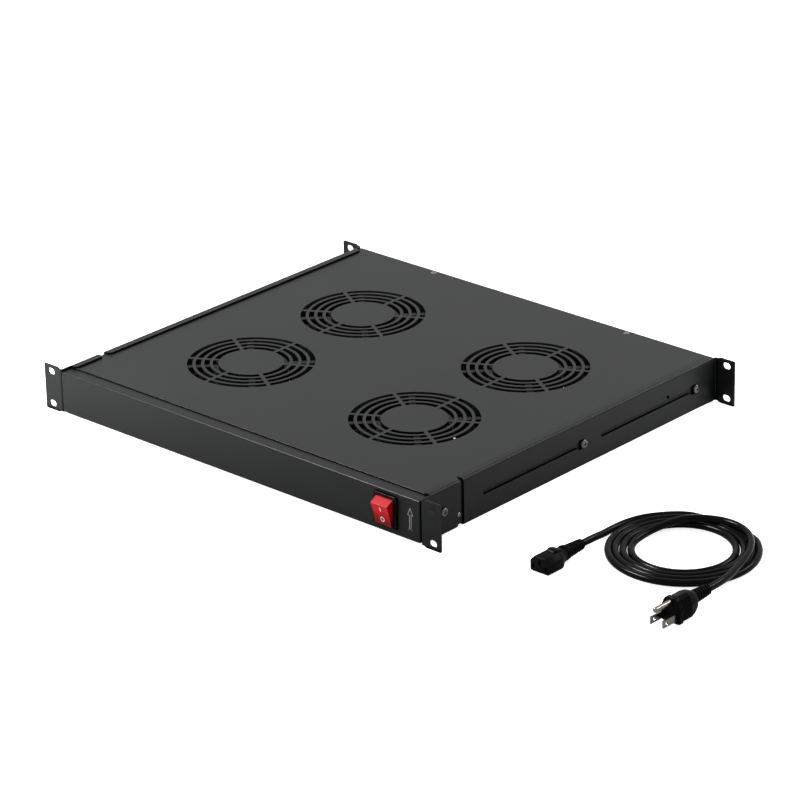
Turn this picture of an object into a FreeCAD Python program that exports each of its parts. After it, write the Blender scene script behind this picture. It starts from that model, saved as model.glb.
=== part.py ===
import FreeCAD, Part
import os
from math import atan2, cos, hypot, pi, radians, sin, tan

# Depth-adjustable 1U rack fan tray, 19 inch, with four 120 mm mains fans.
# Millimetres. +X to the right seen from the front, +Y to the back, +Z up.
# The origin is on the floor, midway across and midway along the tray.

V = FreeCAD.Vector
X_AXIS = V(1, 0, 0)
Y_AXIS = V(0, 1, 0)
Z_AXIS = V(0, 0, 1)

# ---------------------------------------------------------------- driving dimensions

# rack interface
rack_width = 482.6
ear_hole_inset = 8.75
rack_hole_pitch = 31.75
ear_height = 44.0
ear_reach = 21.3
ear_hole_length = 8.6
ear_hole_width = 6.3
ear_relief_run = 3.9
ear_relief_drop = 1.7
ear_corner = 1.0

# sheet metal
bracket_sheet = 1.5
cover_sheet = 1.0
tray_sheet = 1.2
bend_inside = 1.0
fit_gap = 0.1

# chassis
chassis_height = 40.2
panel_proud = 0.5
chassis_back = 400.0
cover_front = 12.6
cover_edge = 0.45
cover_hem = 0.6
front_flange_depth = 26.0
rear_flange_depth = 16.0
tray_side_height = 35.0

# brackets, with lengths measured back from the front ear's face
flange_width = 8.5
front_flange_start = 11.8
front_bracket_end = 46.0
rear_bracket_start = 54.0
rear_flange_end = 393.0
web_reveal = 0.9
slot_width = 4.6
slot_start = 78.1
slot_pitch = 158.5
keyhole_diameter = 9.6
keyhole_lead = 4.0
notch_size = 4.0
notch_from_screw = 40.5

# fasteners
screw_thread = 4.0
screw_head = 8.0
screw_head_height = 2.4
screw_clearance = 0.15
front_screw_station = 27.8
slot_screw_station = 212.5
clinch_nut_diameter = 8.0
clinch_nut_height = 3.0
rivet_station = 49.0
rivet_below_middle = 10.5
rivet_head = 3.6
rivet_hole = 1.9
rivet_head_height = 0.7
rivet_shank = 2.6
cover_screw_from_side = 99.2
cover_screw_inset = 4.0
cover_screw_head = 5.6
cover_screw_thread = 3.0
cover_screw_length = 7.0

# fans
fan_size = 119.5
fan_height = 37.8
fan_span_x = 200.0
fan_span_y = 150.0
fan_middle_station = 200.0
fan_bore = 115.0
fan_flange = 5.0
fan_corner = 7.0
fan_hole_span = 104.8
fan_hole = 4.4
fan_lip = 2.0
strut_count = 4
strut_width = 6.0
strut_height = 5.0
cup_diameter = 66.0
cup_height = 7.0
cup_recess = 1.0
hub_diameter = 68.0
hub_wall = 2.0
hub_bottom = 5.0
hub_gap = 1.2
blade_count = 5
blade_tip_gap = 1.6
blade_thickness = 1.6
blade_camber = 3.0
blade_root_span = 40.0
blade_tip_span = 52.0
blade_bottom = 6.0
blade_top = 27.0
shaft_diameter = 4.0
bearing_clearance = 0.05
bearing_outer = 8.0
bearing_length = 14.0
bearing_tube_wall = 1.6
stator_outer = 50.0
stator_height = 12.0
fan_screw_length = 9.0
fan_screw_head_height = 1.4
fan_nut_width = 7.0
fan_nut_height = 2.4

# grilles stamped over each fan
grille_hub_radius = 30.0
grille_slot = 5.0
grille_rib = 2.87
grille_rings = 4
grille_spoke = 3.5
grille_first_spoke = 30.0
grille_spoke_pairs = 3

# rocker switch
switch_from_side = 38.4
bezel_width = 25.8
bezel_height = 30.8
bezel_thickness = 2.0
switch_body_width = 22.0
switch_body_height = 28.2
switch_body_depth = 20.0
switch_cut_gap = 0.15
rocker_width = 18.4
rocker_opening_height = 26.2
rocker_side_gap = 0.3
rocker_tilt = 15.0
rocker_pivot_behind_panel = 2.05
rocker_apex_out = 9.1
rocker_apex_half = 10.6
rocker_dish = 0.9
rocker_shoulder_out = 1.2
rocker_shoulder_half = 12.75
rocker_back_out = -1.5
rocker_back_half = 12.3
pivot_pin_diameter = 3.0
pivot_pin_length = 1.2
pivot_clearance = 0.05
terminal_width = 6.3
terminal_thickness = 0.8
terminal_length = 8.0
switch_terminal_span = 14.0
switch_terminal_pitch = 11.0

# mains inlet
inlet_from_side = 53.4
inlet_flange_width = 50.0
inlet_flange_height = 22.6
inlet_flange_thickness = 2.5
inlet_screw_span = 40.0
inlet_body_width = 27.6
inlet_body_height = 20.0
inlet_body_depth = 16.0
inlet_socket_width = 24.4
inlet_socket_height = 16.8
inlet_socket_depth = 13.5
inlet_socket_corner = 4.6
inlet_pin_width = 2.0
inlet_pin_height = 4.0
inlet_pin_length = 11.0
inlet_pin_span = 14.0
inlet_pin_offset = 2.0
inlet_screw_thread = 3.0
inlet_screw_head = 5.8
inlet_nut_width = 5.5
inlet_nut_height = 2.4

# terminal block and inner leads
block_ways = 4
block_pitch = 10.0
block_depth = 20.0
block_height = 15.0
block_station = 366.0
block_screw = 4.0
lead_diameter = 5.0
fan_lead_diameter = 3.6
lead_floor_gap = 0.3

# power cord
cord_diameter = 6.4
cord_floor_gap = 0.2
connector_x = 329.4
connector_station = 23.7
nose_width = 20.7
nose_height = 14.1
nose_length = 19.0
nose_corner = 4.6
shoulder_length = 10.5
waist_width = 12.0
waist_height = 10.6
hump_length = 12.0
hump_rise = 2.0
collar_length = 4.5
collar_diameter = 14.0
relief_length = 20.0
relief_root = 12.4
relief_end = 10.4
relief_ribs = 5
relief_groove = 1.7
coil_x = 397.0
coil_station = 130.0
coil_outer_radius = 67.4
coil_inner_radius = 41.1
coil_height = 6.6
coil_edge = 1.9
plug_x = 469.0
plug_station = 22.0
plug_width = 20.5
plug_height = 22.6
plug_length = 28.0
plug_axis_height = 12.0
plug_rim = 5.0
plug_rim_step = 0.8
blade_span = 12.7
blade_height = 6.4
blade_thick = 1.5
blade_length = 17.6
blade_axis_height = 6.9
ground_above_blades = 11.9
ground_pin_diameter = 4.8
ground_pin_length = 21.0

# ---------------------------------------------------------------- places worked out from them

middle_z = ear_height / 2
rack_hole_span = rack_width - 2 * ear_hole_inset
chassis_width = rack_width - 2 * (ear_reach + bracket_sheet + fit_gap)
chassis_bottom = middle_z - chassis_height / 2
chassis_top = middle_z + chassis_height / 2
chassis_half = chassis_width / 2
switch_x = chassis_half - switch_from_side
inlet_x = chassis_half - inlet_from_side
cover_screw_x = chassis_half - cover_screw_from_side
tray_top = chassis_top - cover_sheet - fit_gap
tray_floor = chassis_bottom + tray_sheet
tray_half = chassis_half - cover_sheet - fit_gap
web_inside = chassis_half + fit_gap
web_outside = web_inside + bracket_sheet
flange_inner_half = chassis_height / 2 + fit_gap
flange_outer_half = flange_inner_half + bracket_sheet
bend_outside = bend_inside + bracket_sheet
apex_radius = hypot(rocker_apex_out, rocker_apex_half)
apex_angle = atan2(rocker_apex_half, rocker_apex_out) - radians(rocker_tilt)
rocker_reach = apex_radius * cos(apex_angle) - rocker_pivot_behind_panel + panel_proud
back_reach = chassis_back + inlet_flange_thickness
# the front ear's face lies this far along Y, so that the tray is centred on the origin
front_y = (rocker_reach - back_reach) / 2


def at(station):
    """Y of a place measured back from the front ear's face."""
    return front_y + station


panel_face = at(-panel_proud)
rear_face = at(chassis_back)
fan_centres = [(sx * fan_span_x / 2, at(fan_middle_station + sy * fan_span_y / 2))
                 for sy in (-1, 1) for sx in (-1, 1)]
slot_screw_stations = [slot_screw_station, slot_screw_station + slot_pitch]


# ---------------------------------------------------------------- shape tools

def box(x0, x1, y0, y1, z0, z1):
    return Part.makeBox(x1 - x0, y1 - y0, z1 - z0, V(x0, y0, z0))


def rod(radius, length, start, axis):
    return Part.makeCylinder(radius, length, start, axis)


def ring(outer, inner, length, start, axis):
    return rod(outer, length, start, axis).cut(rod(inner, length, start, axis))


def fuse(shapes):
    return shapes[0].multiFuse(shapes[1:]).removeSplitter()


def rounded_edges(points, radii, closed):
    """Straight edges joined by tangent arcs of the given radius at each corner."""
    count = len(points)
    corners = range(count) if closed else range(1, count - 1)
    starts = list(points)
    ends = list(points)
    arcs = {}
    for i in corners:
        here = points[i]
        if radii[i] == 0:
            continue
        back = (points[i - 1] - here).normalize()
        ahead = (points[(i + 1) % count] - here).normalize()
        half = back.getAngle(ahead) / 2
        middle = (back + ahead).normalize()
        reach = radii[i] / tan(half)
        starts[i] = here + back * reach
        ends[i] = here + ahead * reach
        crown = here + middle * (radii[i] / sin(half) - radii[i])
        arcs[i] = Part.Arc(starts[i], crown, ends[i]).toShape()
    edges = []
    for i in range(count if closed else count - 1):
        after = (i + 1) % count
        if (starts[after] - ends[i]).Length > 1e-6:
            edges.append(Part.LineSegment(ends[i], starts[after]).toShape())
        if after in arcs:
            edges.append(arcs[after])
    return edges


def plate(corners, place, depth):
    """A prism over an outline of (a, b, corner radius), laid out by place(a, b)."""
    points = [place(a, b) for a, b, radius in corners]
    radii = [radius for a, b, radius in corners]
    wire = Part.Wire(Part.__sortEdges__(rounded_edges(points, radii, True)))
    return Part.Face(wire).extrude(depth)


def block(x0, x1, y0, y1, z0, z1, radius, axis):
    """A box whose four edges along one axis are rounded."""
    if axis == "x":
        outline = [(y0, z0, radius), (y1, z0, radius), (y1, z1, radius), (y0, z1, radius)]
        return plate(outline, lambda a, b: V(x0, a, b), V(x1 - x0, 0, 0))
    if axis == "y":
        outline = [(x0, z0, radius), (x1, z0, radius), (x1, z1, radius), (x0, z1, radius)]
        return plate(outline, lambda a, b: V(a, y0, b), V(0, y1 - y0, 0))
    outline = [(x0, y0, radius), (x1, y0, radius), (x1, y1, radius), (x0, y1, radius)]
    return plate(outline, lambda a, b: V(a, b, z0), V(0, 0, z1 - z0))


def slot_cut(length, width, depth, centre, long_axis, through):
    """A round-ended slot running along one axis and cut through another."""
    half = (length - width) / 2
    side = through.cross(long_axis)
    start = centre - through * (depth / 2)
    body = Part.Wire(Part.makePolygon([start - long_axis * half - side * (width / 2),
                                       start + long_axis * half - side * (width / 2),
                                       start + long_axis * half + side * (width / 2),
                                       start - long_axis * half + side * (width / 2),
                                       start - long_axis * half - side * (width / 2)]))
    middle = Part.Face(body).extrude(through * depth)
    ends = [rod(width / 2, depth, start + long_axis * (half * way), through) for way in (-1, 1)]
    return fuse([middle] + ends)


def mirrored(shape):
    return shape.mirror(V(0, 0, 0), X_AXIS)


def save(name, shape):
    shape.exportStep("parts/" + name + ".step")


def group(shapes):
    return Part.makeCompound(shapes)


def screw(place, axis, thread, length, head, head_height, recess=True):
    """A screw with its underhead at place and its thread along axis."""
    shank = rod(thread / 2, length, place, axis)
    if not recess:
        return fuse([rod(head / 2, head_height, place - axis * head_height, axis), shank])
    rim_height = head_height * 0.45
    rim = rod(head / 2, rim_height, place - axis * rim_height, axis)
    crown = Part.makeCone(head / 2, head * 0.36, head_height - rim_height,
                          place - axis * rim_height, axis * -1)
    whole = fuse([crown, rim, shank])
    across = X_AXIS if abs(axis.dot(X_AXIS)) < 0.5 else Y_AXIS
    other = axis.cross(across)
    face = place - axis * head_height
    for way in (across, other):
        side = axis.cross(way)
        low = face - way * (head * 0.3) - side * (head * 0.07)
        pocket = Part.makePolygon([low, low + way * (head * 0.6),
                                   low + way * (head * 0.6) + side * (head * 0.14),
                                   low + side * (head * 0.14), low])
        whole = whole.cut(Part.Face(Part.Wire(pocket)).extrude(axis * (head_height * 0.6)))
    return whole


def hex_nut(place, axis, width, height, thread):
    """A plain hexagon nut seated at place, standing along axis."""
    across = X_AXIS if abs(axis.dot(X_AXIS)) < 0.5 else Y_AXIS
    other = axis.cross(across)
    radius = width / 2 / cos(pi / 6)
    corners = [place + across * (radius * cos(i * pi / 3)) + other * (radius * sin(i * pi / 3))
               for i in range(7)]
    nut = Part.Face(Part.Wire(Part.makePolygon(corners))).extrude(axis * height)
    return nut.cut(rod(thread / 2 + fit_gap / 2, height + 2, place - axis, axis))


def tube(points, diameter, least):
    """A round tube along straight runs, with the largest arcs that the runs allow."""
    radii = [0] * len(points)
    for i in range(1, len(points) - 1):
        back = points[i - 1] - points[i]
        ahead = points[i + 1] - points[i]
        turn = pi - back.getAngle(ahead)
        radii[i] = 0.45 * min(back.Length, ahead.Length) / tan(turn / 2)
    path = Part.Wire(rounded_edges(points, radii, False))
    start = points[0]
    circle = Part.Wire(Part.makeCircle(diameter / 2, start, points[1] - start))
    solid = path.makePipeShell([circle], True, False)
    expected = pi * diameter ** 2 / 4 * path.Length
    print("tube length %.1f, volume ratio %.5f, least radius %.1f (least allowed %.1f)"
          % (path.Length, solid.Volume / expected, min(radii[1:-1]), least))
    return solid


# ---------------------------------------------------------------- base tray and top cover

def grille_cut(centre_x, centre_y, z0, depth):
    """Four rings of arc slots, parted by six spokes, round a blank middle."""
    rings = []
    for i in range(grille_rings):
        inner = grille_hub_radius + i * (grille_slot + grille_rib)
        rings.append(ring(inner + grille_slot, inner, depth, V(centre_x, centre_y, z0), Z_AXIS))
    reach = grille_hub_radius + grille_rings * (grille_slot + grille_rib)
    spokes = []
    for i in range(grille_spoke_pairs):
        bar = box(-reach, reach, -grille_spoke / 2, grille_spoke / 2, z0 - 1, z0 + depth + 1)
        bar.rotate(V(0, 0, 0), Z_AXIS, grille_first_spoke + i * 180 / grille_spoke_pairs)
        bar.translate(V(centre_x, centre_y, 0))
        spokes.append(bar)
    return group(rings).cut(group(spokes))


def side_screw_holes(diameter):
    """Holes across the chassis for the bracket screws on both sides."""
    holes = []
    for station in [front_screw_station] + slot_screw_stations:
        start = V(-web_outside, at(station), middle_z)
        holes.append(rod(diameter / 2, 2 * web_outside, start, X_AXIS))
    start = V(-web_outside, at(rivet_station), middle_z - rivet_below_middle)
    holes.append(rod(rivet_shank / 2 + fit_gap, 2 * web_outside, start, X_AXIS))
    return group(holes)


def fan_screw_places(centre):
    half = fan_hole_span / 2
    return [(centre[0] + sx * half, centre[1] + sy * half) for sx in (-1, 1) for sy in (-1, 1)]


def make_base_tray():
    outer_bend = bend_inside + tray_sheet
    front_end = at(cover_front) - fit_gap
    nose = block(-chassis_half, chassis_half, panel_face, front_end + outer_bend + 1,
                 chassis_bottom, tray_top, bend_inside + 0.4, "x")
    nose = nose.common(box(-chassis_half, chassis_half, panel_face, front_end,
                           chassis_bottom, tray_top))
    corners = [edge for edge in nose.Edges
               if abs(edge.CenterOfMass.y - panel_face) < 0.01
               and abs(abs(edge.CenterOfMass.x) - chassis_half) < 0.01]
    nose = nose.makeFillet(tray_sheet, corners)
    hollow = box(-tray_half + tray_sheet, tray_half - tray_sheet, panel_face + tray_sheet,
                 front_end + 1, tray_floor, tray_top - tray_sheet)
    nose = nose.cut(hollow)
    back = rear_face - fit_gap
    trough = block(-tray_half, tray_half, panel_face + tray_sheet / 2, back,
                   chassis_bottom, chassis_bottom + 60, outer_bend, "y")
    inside = block(-tray_half + tray_sheet, tray_half - tray_sheet, panel_face, back + 1,
                   tray_floor, chassis_bottom + 80, bend_inside, "y")
    side_top = tray_floor + tray_side_height
    trough = trough.cut(inside).common(box(-tray_half, tray_half, panel_face, back,
                                           chassis_bottom, side_top))
    front_flange = box(-tray_half + tray_sheet, tray_half - tray_sheet, front_end - 1,
                       at(front_flange_depth), tray_top - tray_sheet, tray_top)
    rear_wall = block(-tray_half, tray_half, back - rear_flange_depth, back,
                      chassis_bottom, tray_top, outer_bend, "x")
    rear_wall = rear_wall.cut(box(-tray_half, tray_half, back - rear_flange_depth - 1,
                                  back - tray_sheet, tray_floor, tray_top - tray_sheet))
    rear_wall = rear_wall.common(block(-tray_half, tray_half, back - rear_flange_depth, back,
                                       chassis_bottom, tray_top, outer_bend, "y"))
    shell = fuse([nose, trough, front_flange, rear_wall])
    cuts = [grille_cut(x, y, chassis_bottom - 1, tray_sheet + 2) for x, y in fan_centres]
    for centre in fan_centres:
        for x, y in fan_screw_places(centre):
            cuts.append(rod(fan_hole / 2, tray_sheet + 2, V(x, y, chassis_bottom - 1), Z_AXIS))
    cuts.append(side_screw_holes(screw_thread + 2 * screw_clearance))
    body_x = switch_body_width / 2 + switch_cut_gap
    body_z = switch_body_height / 2 + switch_cut_gap
    cuts.append(box(switch_x - body_x, switch_x + body_x, panel_face - 1,
                    panel_face + tray_sheet + 1, middle_z - body_z, middle_z + body_z))
    cuts.append(block(inlet_x - inlet_body_width / 2 - fit_gap,
                      inlet_x + inlet_body_width / 2 + fit_gap, back - tray_sheet - 1, back + 1,
                      middle_z - inlet_body_height / 2 - fit_gap,
                      middle_z + inlet_body_height / 2 + fit_gap, 1.0, "y"))
    for side in (-1, 1):
        start = V(inlet_x + side * inlet_screw_span / 2, back - tray_sheet - 1, middle_z)
        cuts.append(rod(inlet_screw_thread / 2 + fit_gap, tray_sheet + 2, start, Y_AXIS))
        start = V(side * cover_screw_x, rear_face - cover_screw_inset,
                  tray_top - tray_sheet - 1)
        cuts.append(rod(cover_screw_thread / 2 + fit_gap, tray_sheet + 2, start, Z_AXIS))
    return shell.cut(group(cuts))


def make_top_cover():
    outer_bend = bend_inside + cover_sheet
    front = at(cover_front)
    outside = block(-chassis_half, chassis_half, front, rear_face,
                    chassis_top - 80, chassis_top, outer_bend, "y")
    inside = block(-chassis_half + cover_sheet, chassis_half - cover_sheet, front - 1,
                   rear_face + 1, chassis_top - 90, chassis_top - cover_sheet, bend_inside, "y")
    shell = outside.cut(inside).common(box(-chassis_half, chassis_half, front, rear_face,
                                           chassis_bottom + cover_hem, chassis_top))
    lip = [edge for edge in shell.Edges if abs(edge.CenterOfMass.y - front) < 0.01
           and abs(edge.CenterOfMass.z - chassis_top) < 0.01 and edge.Length > chassis_half]
    shell = shell.makeFillet(cover_edge, lip)
    cuts = [grille_cut(x, y, chassis_top - cover_sheet - 1, cover_sheet + 2)
            for x, y in fan_centres]
    cuts.append(side_screw_holes(screw_thread + 2 * screw_clearance))
    for side in (-1, 1):
        seat = V(side * cover_screw_x, rear_face - cover_screw_inset,
                 chassis_top - cover_sheet)
        cuts.append(Part.makeCone(cover_screw_thread / 2 + fit_gap,
                                  cover_screw_head / 2 + fit_gap, cover_sheet, seat, Z_AXIS))
    return shell.cut(group(cuts))


# ---------------------------------------------------------------- brackets

def ear_holes(face_y):
    cuts = []
    for side in (-1, 1):
        centre = V(rack_hole_span / 2, face_y, middle_z + side * rack_hole_pitch / 2)
        cuts.append(slot_cut(ear_hole_length, ear_hole_width, 20, centre, X_AXIS, Y_AXIS))
    return group(cuts)


def ear_relief_cuts(face_y):
    """Chamfers that free the ear's inner corners from the bend."""
    start = web_outside + bend_inside
    cuts = []
    for side in (-1, 1):
        edge = middle_z + side * ear_height / 2
        outline = [V(start, face_y - 10, edge + side), V(start + ear_relief_run, face_y - 10,
                   edge + side), V(start + ear_relief_run, face_y - 10, edge),
                   V(start, face_y - 10, edge - side * ear_relief_drop)]
        outline.append(outline[0])
        cuts.append(Part.Face(Part.Wire(Part.makePolygon(outline))).extrude(V(0, 20, 0)))
    return cuts


def round_ear(shape):
    """Rounds the two outer corners of the ear."""
    corners = [edge for edge in shape.Edges if edge.Length < 2 * bracket_sheet
               and abs(edge.CenterOfMass.x - rack_width / 2) < 0.01
               and abs(abs(edge.CenterOfMass.z - middle_z) - ear_height / 2) < 0.01]
    return shape.makeFillet(ear_corner, corners)


def channel(y0, y1):
    """The web and its two flanges, wrapped round the chassis side."""
    far = web_outside - 40
    outside = block(far, web_outside, y0, y1, middle_z - flange_outer_half,
                    middle_z + flange_outer_half, bend_outside, "y")
    inside = block(far - 5, web_inside, y0 - 1, y1 + 1, middle_z - flange_inner_half,
                   middle_z + flange_inner_half, bend_inside, "y")
    keep = box(web_outside - flange_width, web_outside, y0, y1, 0, ear_height)
    return outside.cut(inside).common(keep)


def round_flange_tips(shape, y, way):
    """Rounds the free inner corner of both flanges at one end."""
    radius = flange_width * 0.45
    tip_x = web_outside - flange_width
    blank = box(tip_x, tip_x + radius, min(y, y + way * radius), max(y, y + way * radius),
                -1, ear_height + 1)
    keep = rod(radius, ear_height + 2, V(tip_x + radius, y + way * radius, -1), Z_AXIS)
    return shape.cut(blank.cut(keep))


def make_front_bracket():
    """Right-hand bracket: ear, plain web past the panel, then a flanged channel."""
    face = at(0)
    web_end = at(front_flange_start) + bend_outside
    outline = [(web_inside, web_end, 0), (web_inside, face, bend_outside),
               (rack_width / 2, face, 0), (rack_width / 2, face + bracket_sheet, 0),
               (web_outside, face + bracket_sheet, bend_inside), (web_outside, web_end, 0)]
    angle = plate(outline, lambda a, b: V(a, b, 0), V(0, 0, ear_height))
    web_half = flange_outer_half - web_reveal
    for side in (-1, 1):
        low = middle_z + side * web_half
        high = middle_z + side * ear_height
        angle = angle.cut(box(web_inside - 5, web_outside + bend_inside, face - 1, web_end + 1,
                              min(low, high), max(low, high)))
    flanged = channel(at(front_flange_start), at(front_bracket_end))
    flanged = round_flange_tips(flanged, at(front_flange_start), 1)
    flanged = round_flange_tips(flanged, at(front_bracket_end), -1)
    angle = angle.common(box(0, rack_width, face - 1, web_end, -1, ear_height + 1))
    shape = round_ear(fuse([angle, flanged]))
    start = V(web_inside - 5, at(front_screw_station), middle_z)
    hole = rod(screw_thread / 2 + screw_clearance, 20, start, X_AXIS)
    cuts = [ear_holes(face), hole] + ear_relief_cuts(face)
    return shape.cut(group(cuts))


def make_rear_bracket():
    """Right-hand bracket: a long flanged channel with two slots, then the ear."""
    face = at(chassis_back)
    web_start = at(rear_flange_end) - bend_outside
    back = face + bracket_sheet
    outline = [(web_inside, web_start, 0), (web_inside, back, bend_outside),
               (rack_width / 2, back, 0), (rack_width / 2, face, 0),
               (web_outside, face, bend_inside), (web_outside, web_start, 0)]
    angle = plate(outline, lambda a, b: V(a, b, 0), V(0, 0, ear_height))
    web_half = flange_outer_half - web_reveal
    for side in (-1, 1):
        low = middle_z + side * web_half
        high = middle_z + side * ear_height
        angle = angle.cut(box(web_inside - 5, web_outside + bend_inside, web_start - 1, back + 1,
                              min(low, high), max(low, high)))
    flanged = channel(at(rear_bracket_start), at(rear_flange_end))
    flanged = round_flange_tips(flanged, at(rear_bracket_start), 1)
    flanged = round_flange_tips(flanged, at(rear_flange_end), -1)
    shape = round_ear(fuse([angle, flanged]))
    cuts = [ear_holes(face)] + ear_relief_cuts(face)
    slot_end = slot_screw_station + slot_width / 2
    for shift in (0, slot_pitch):
        middle = V(web_outside, at((slot_start + slot_end) / 2 + shift), middle_z)
        cuts.append(slot_cut(slot_end - slot_start, slot_width, 20, middle, Y_AXIS, X_AXIS))
        start = V(web_inside - 5, at(slot_screw_station - keyhole_lead + shift), middle_z)
        cuts.append(rod(keyhole_diameter / 2, 20, start, X_AXIS))
    notch_y = at(slot_screw_station + slot_pitch - notch_from_screw)
    cuts.append(box(web_inside - 5, web_outside + 5, notch_y - notch_size / 2,
                    notch_y + notch_size / 2, middle_z, middle_z + slot_width / 2 + notch_size))
    return shape.cut(group(cuts))


# ---------------------------------------------------------------- side fasteners

def make_bracket_screws():
    screws = []
    length = bracket_sheet + 2 * fit_gap + cover_sheet + tray_sheet + clinch_nut_height
    for side in (-1, 1):
        for station in [front_screw_station] + slot_screw_stations:
            place = V(side * (web_outside + fit_gap), at(station), middle_z)
            screws.append(screw(place, X_AXIS * -side, screw_thread, length,
                                screw_head, screw_head_height))
    return group(screws)


def make_clinch_nuts():
    nuts = []
    wall = tray_half - tray_sheet
    for side in (-1, 1):
        for station in [front_screw_station] + slot_screw_stations:
            start = V(side * wall, at(station), middle_z)
            nuts.append(ring(clinch_nut_diameter / 2, screw_thread / 2 + fit_gap / 2,
                             clinch_nut_height, start, X_AXIS * -side))
    return group(nuts)


def make_side_rivets():
    rivets = []
    for side in (-1, 1):
        middle = V(side * chassis_half, at(rivet_station), middle_z - rivet_below_middle)
        inward = X_AXIS * -side
        head = rod(rivet_head / 2, rivet_head_height, middle - inward * rivet_head_height, inward)
        shank = rod(rivet_shank / 2, cover_sheet + tray_sheet + fit_gap, middle, inward)
        hole = rod(rivet_hole / 2, rivet_head_height + 1, middle - inward * rivet_head_height,
                   inward)
        rivets.append(fuse([head, shank]).cut(hole))
    return group(rivets)


def make_cover_screws():
    screws = []
    for side in (-1, 1):
        top = V(side * cover_screw_x, rear_face - cover_screw_inset, chassis_top)
        down = Z_AXIS * -1
        head = Part.makeCone(cover_screw_head / 2, cover_screw_thread / 2, cover_sheet, top, down)
        shank = rod(cover_screw_thread / 2, cover_screw_length, top, down)
        socket = rod(cover_screw_head * 0.16, cover_sheet * 0.7, top, down)
        screws.append(fuse([head, shank]).cut(socket))
    return group(screws)


# ---------------------------------------------------------------- fans

def fan_outline(centre, z0, z1):
    half = fan_size / 2
    return block(centre[0] - half, centre[0] + half, centre[1] - half, centre[1] + half,
                 z0, z1, fan_corner, "z")


def make_fan_frame(centre):
    """Cast square frame with a round duct, struts and the motor cup at the outlet."""
    x, y = centre
    z0 = tray_floor
    z1 = z0 + fan_height
    middle = V(x, y, z0)
    flanges = [fan_outline(centre, z0, z0 + fan_flange), fan_outline(centre, z1 - fan_flange, z1)]
    duct = rod(fan_size / 2, fan_height, middle, Z_AXIS)
    body = fuse(flanges + [duct])
    bore = rod(fan_bore / 2, fan_height, middle, Z_AXIS)
    lip_low = Part.makeCone(fan_bore / 2 + fan_lip, fan_bore / 2, 2 * fan_lip, middle, Z_AXIS)
    lip_high = Part.makeCone(fan_bore / 2, fan_bore / 2 + fan_lip, 2 * fan_lip,
                             V(x, y, z1 - 2 * fan_lip), Z_AXIS)
    body = body.cut(fuse([bore, lip_low, lip_high]))
    cup_top = z1 - cup_recess
    cup = rod(cup_diameter / 2, cup_height, V(x, y, cup_top - cup_height), Z_AXIS)
    pieces = [body, cup]
    for i in range(strut_count):
        arm = box(cup_diameter / 2 - 2, fan_bore / 2 + 1, -strut_width / 2, strut_width / 2,
                  cup_top - strut_height, cup_top)
        arm.rotate(V(0, 0, 0), Z_AXIS, 45 + i * 360 / strut_count)
        arm.translate(V(x, y, 0))
        pieces.append(arm)
    tube_low = cup_top - cup_height - bearing_length
    tube_outer = bearing_outer / 2 + fit_gap / 2 + bearing_tube_wall
    pieces.append(rod(tube_outer, bearing_length + 1, V(x, y, tube_low), Z_AXIS))
    frame = fuse(pieces)
    frame = frame.cut(rod(bearing_outer / 2 + fit_gap / 2, bearing_length,
                          V(x, y, tube_low), Z_AXIS))
    holes = []
    for hole_x, hole_y in fan_screw_places(centre):
        holes.append(rod(fan_hole / 2, fan_height, V(hole_x, hole_y, z0), Z_AXIS))
    return frame.cut(group(holes))


def blade_section(radius, span, z0, z1):
    """A cambered strip across the blade at one radius, leaning along the rotation."""
    lean = atan2(z1 - z0, span)
    long = V(cos(lean), 0, sin(lean))
    thick = V(-sin(lean), 0, cos(lean))
    middle = V(0, radius, (z0 + z1) / 2)
    half = hypot(span, z1 - z0) / 2
    ends = [middle - long * half, middle + long * half]
    crown = middle + thick * blade_camber
    upper = Part.Arc(ends[0] + thick * blade_thickness, crown + thick * blade_thickness,
                     ends[1] + thick * blade_thickness).toShape()
    lower = Part.Arc(ends[1], crown, ends[0]).toShape()
    tip = Part.LineSegment(ends[1] + thick * blade_thickness, ends[1]).toShape()
    tail = Part.LineSegment(ends[0], ends[0] + thick * blade_thickness).toShape()
    return Part.Wire([upper, tip, lower, tail])


def make_fan_rotor(centre):
    """Hub cup with leaning, cambered blades and the steel shaft in its middle."""
    z0 = tray_floor
    hub_top = z0 + fan_height - cup_recess - cup_height - hub_gap
    hub = rod(hub_diameter / 2, hub_top - z0 - hub_bottom, V(0, 0, z0 + hub_bottom), Z_AXIS)
    edge = [e for e in hub.Edges if e.Curve.TypeId == "Part::GeomCircle"
            and abs(e.CenterOfMass.z - z0 - hub_bottom) < 0.01]
    hub = hub.makeFillet(2.5, edge)
    hub = hub.cut(rod(hub_diameter / 2 - hub_wall, hub_top - z0 - hub_bottom,
                      V(0, 0, z0 + hub_bottom + hub_wall), Z_AXIS))
    tip_radius = fan_bore / 2 - blade_tip_gap
    root_radius = hub_diameter / 2 - 4
    root = blade_section(root_radius, blade_root_span * 0.55, z0 + blade_bottom, z0 + blade_top)
    tip = blade_section(tip_radius + 4, blade_tip_span, z0 + blade_bottom + 2, z0 + blade_top - 2)
    blade = Part.makeLoft([root, tip], True, True)
    swept = ring(tip_radius, hub_diameter / 2 - hub_wall / 2, fan_height, V(0, 0, z0), Z_AXIS)
    blade = blade.common(swept)
    blades = []
    for i in range(blade_count):
        copy = blade.copy()
        copy.rotate(V(0, 0, 0), Z_AXIS, i * 360 / blade_count)
        blades.append(copy)
    shaft = rod(shaft_diameter / 2, hub_top - z0 - hub_bottom - 1,
                V(0, 0, z0 + hub_bottom + 1), Z_AXIS)
    rotor = fuse([hub] + blades + [shaft])
    rotor.translate(V(centre[0], centre[1], 0))
    return rotor


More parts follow.
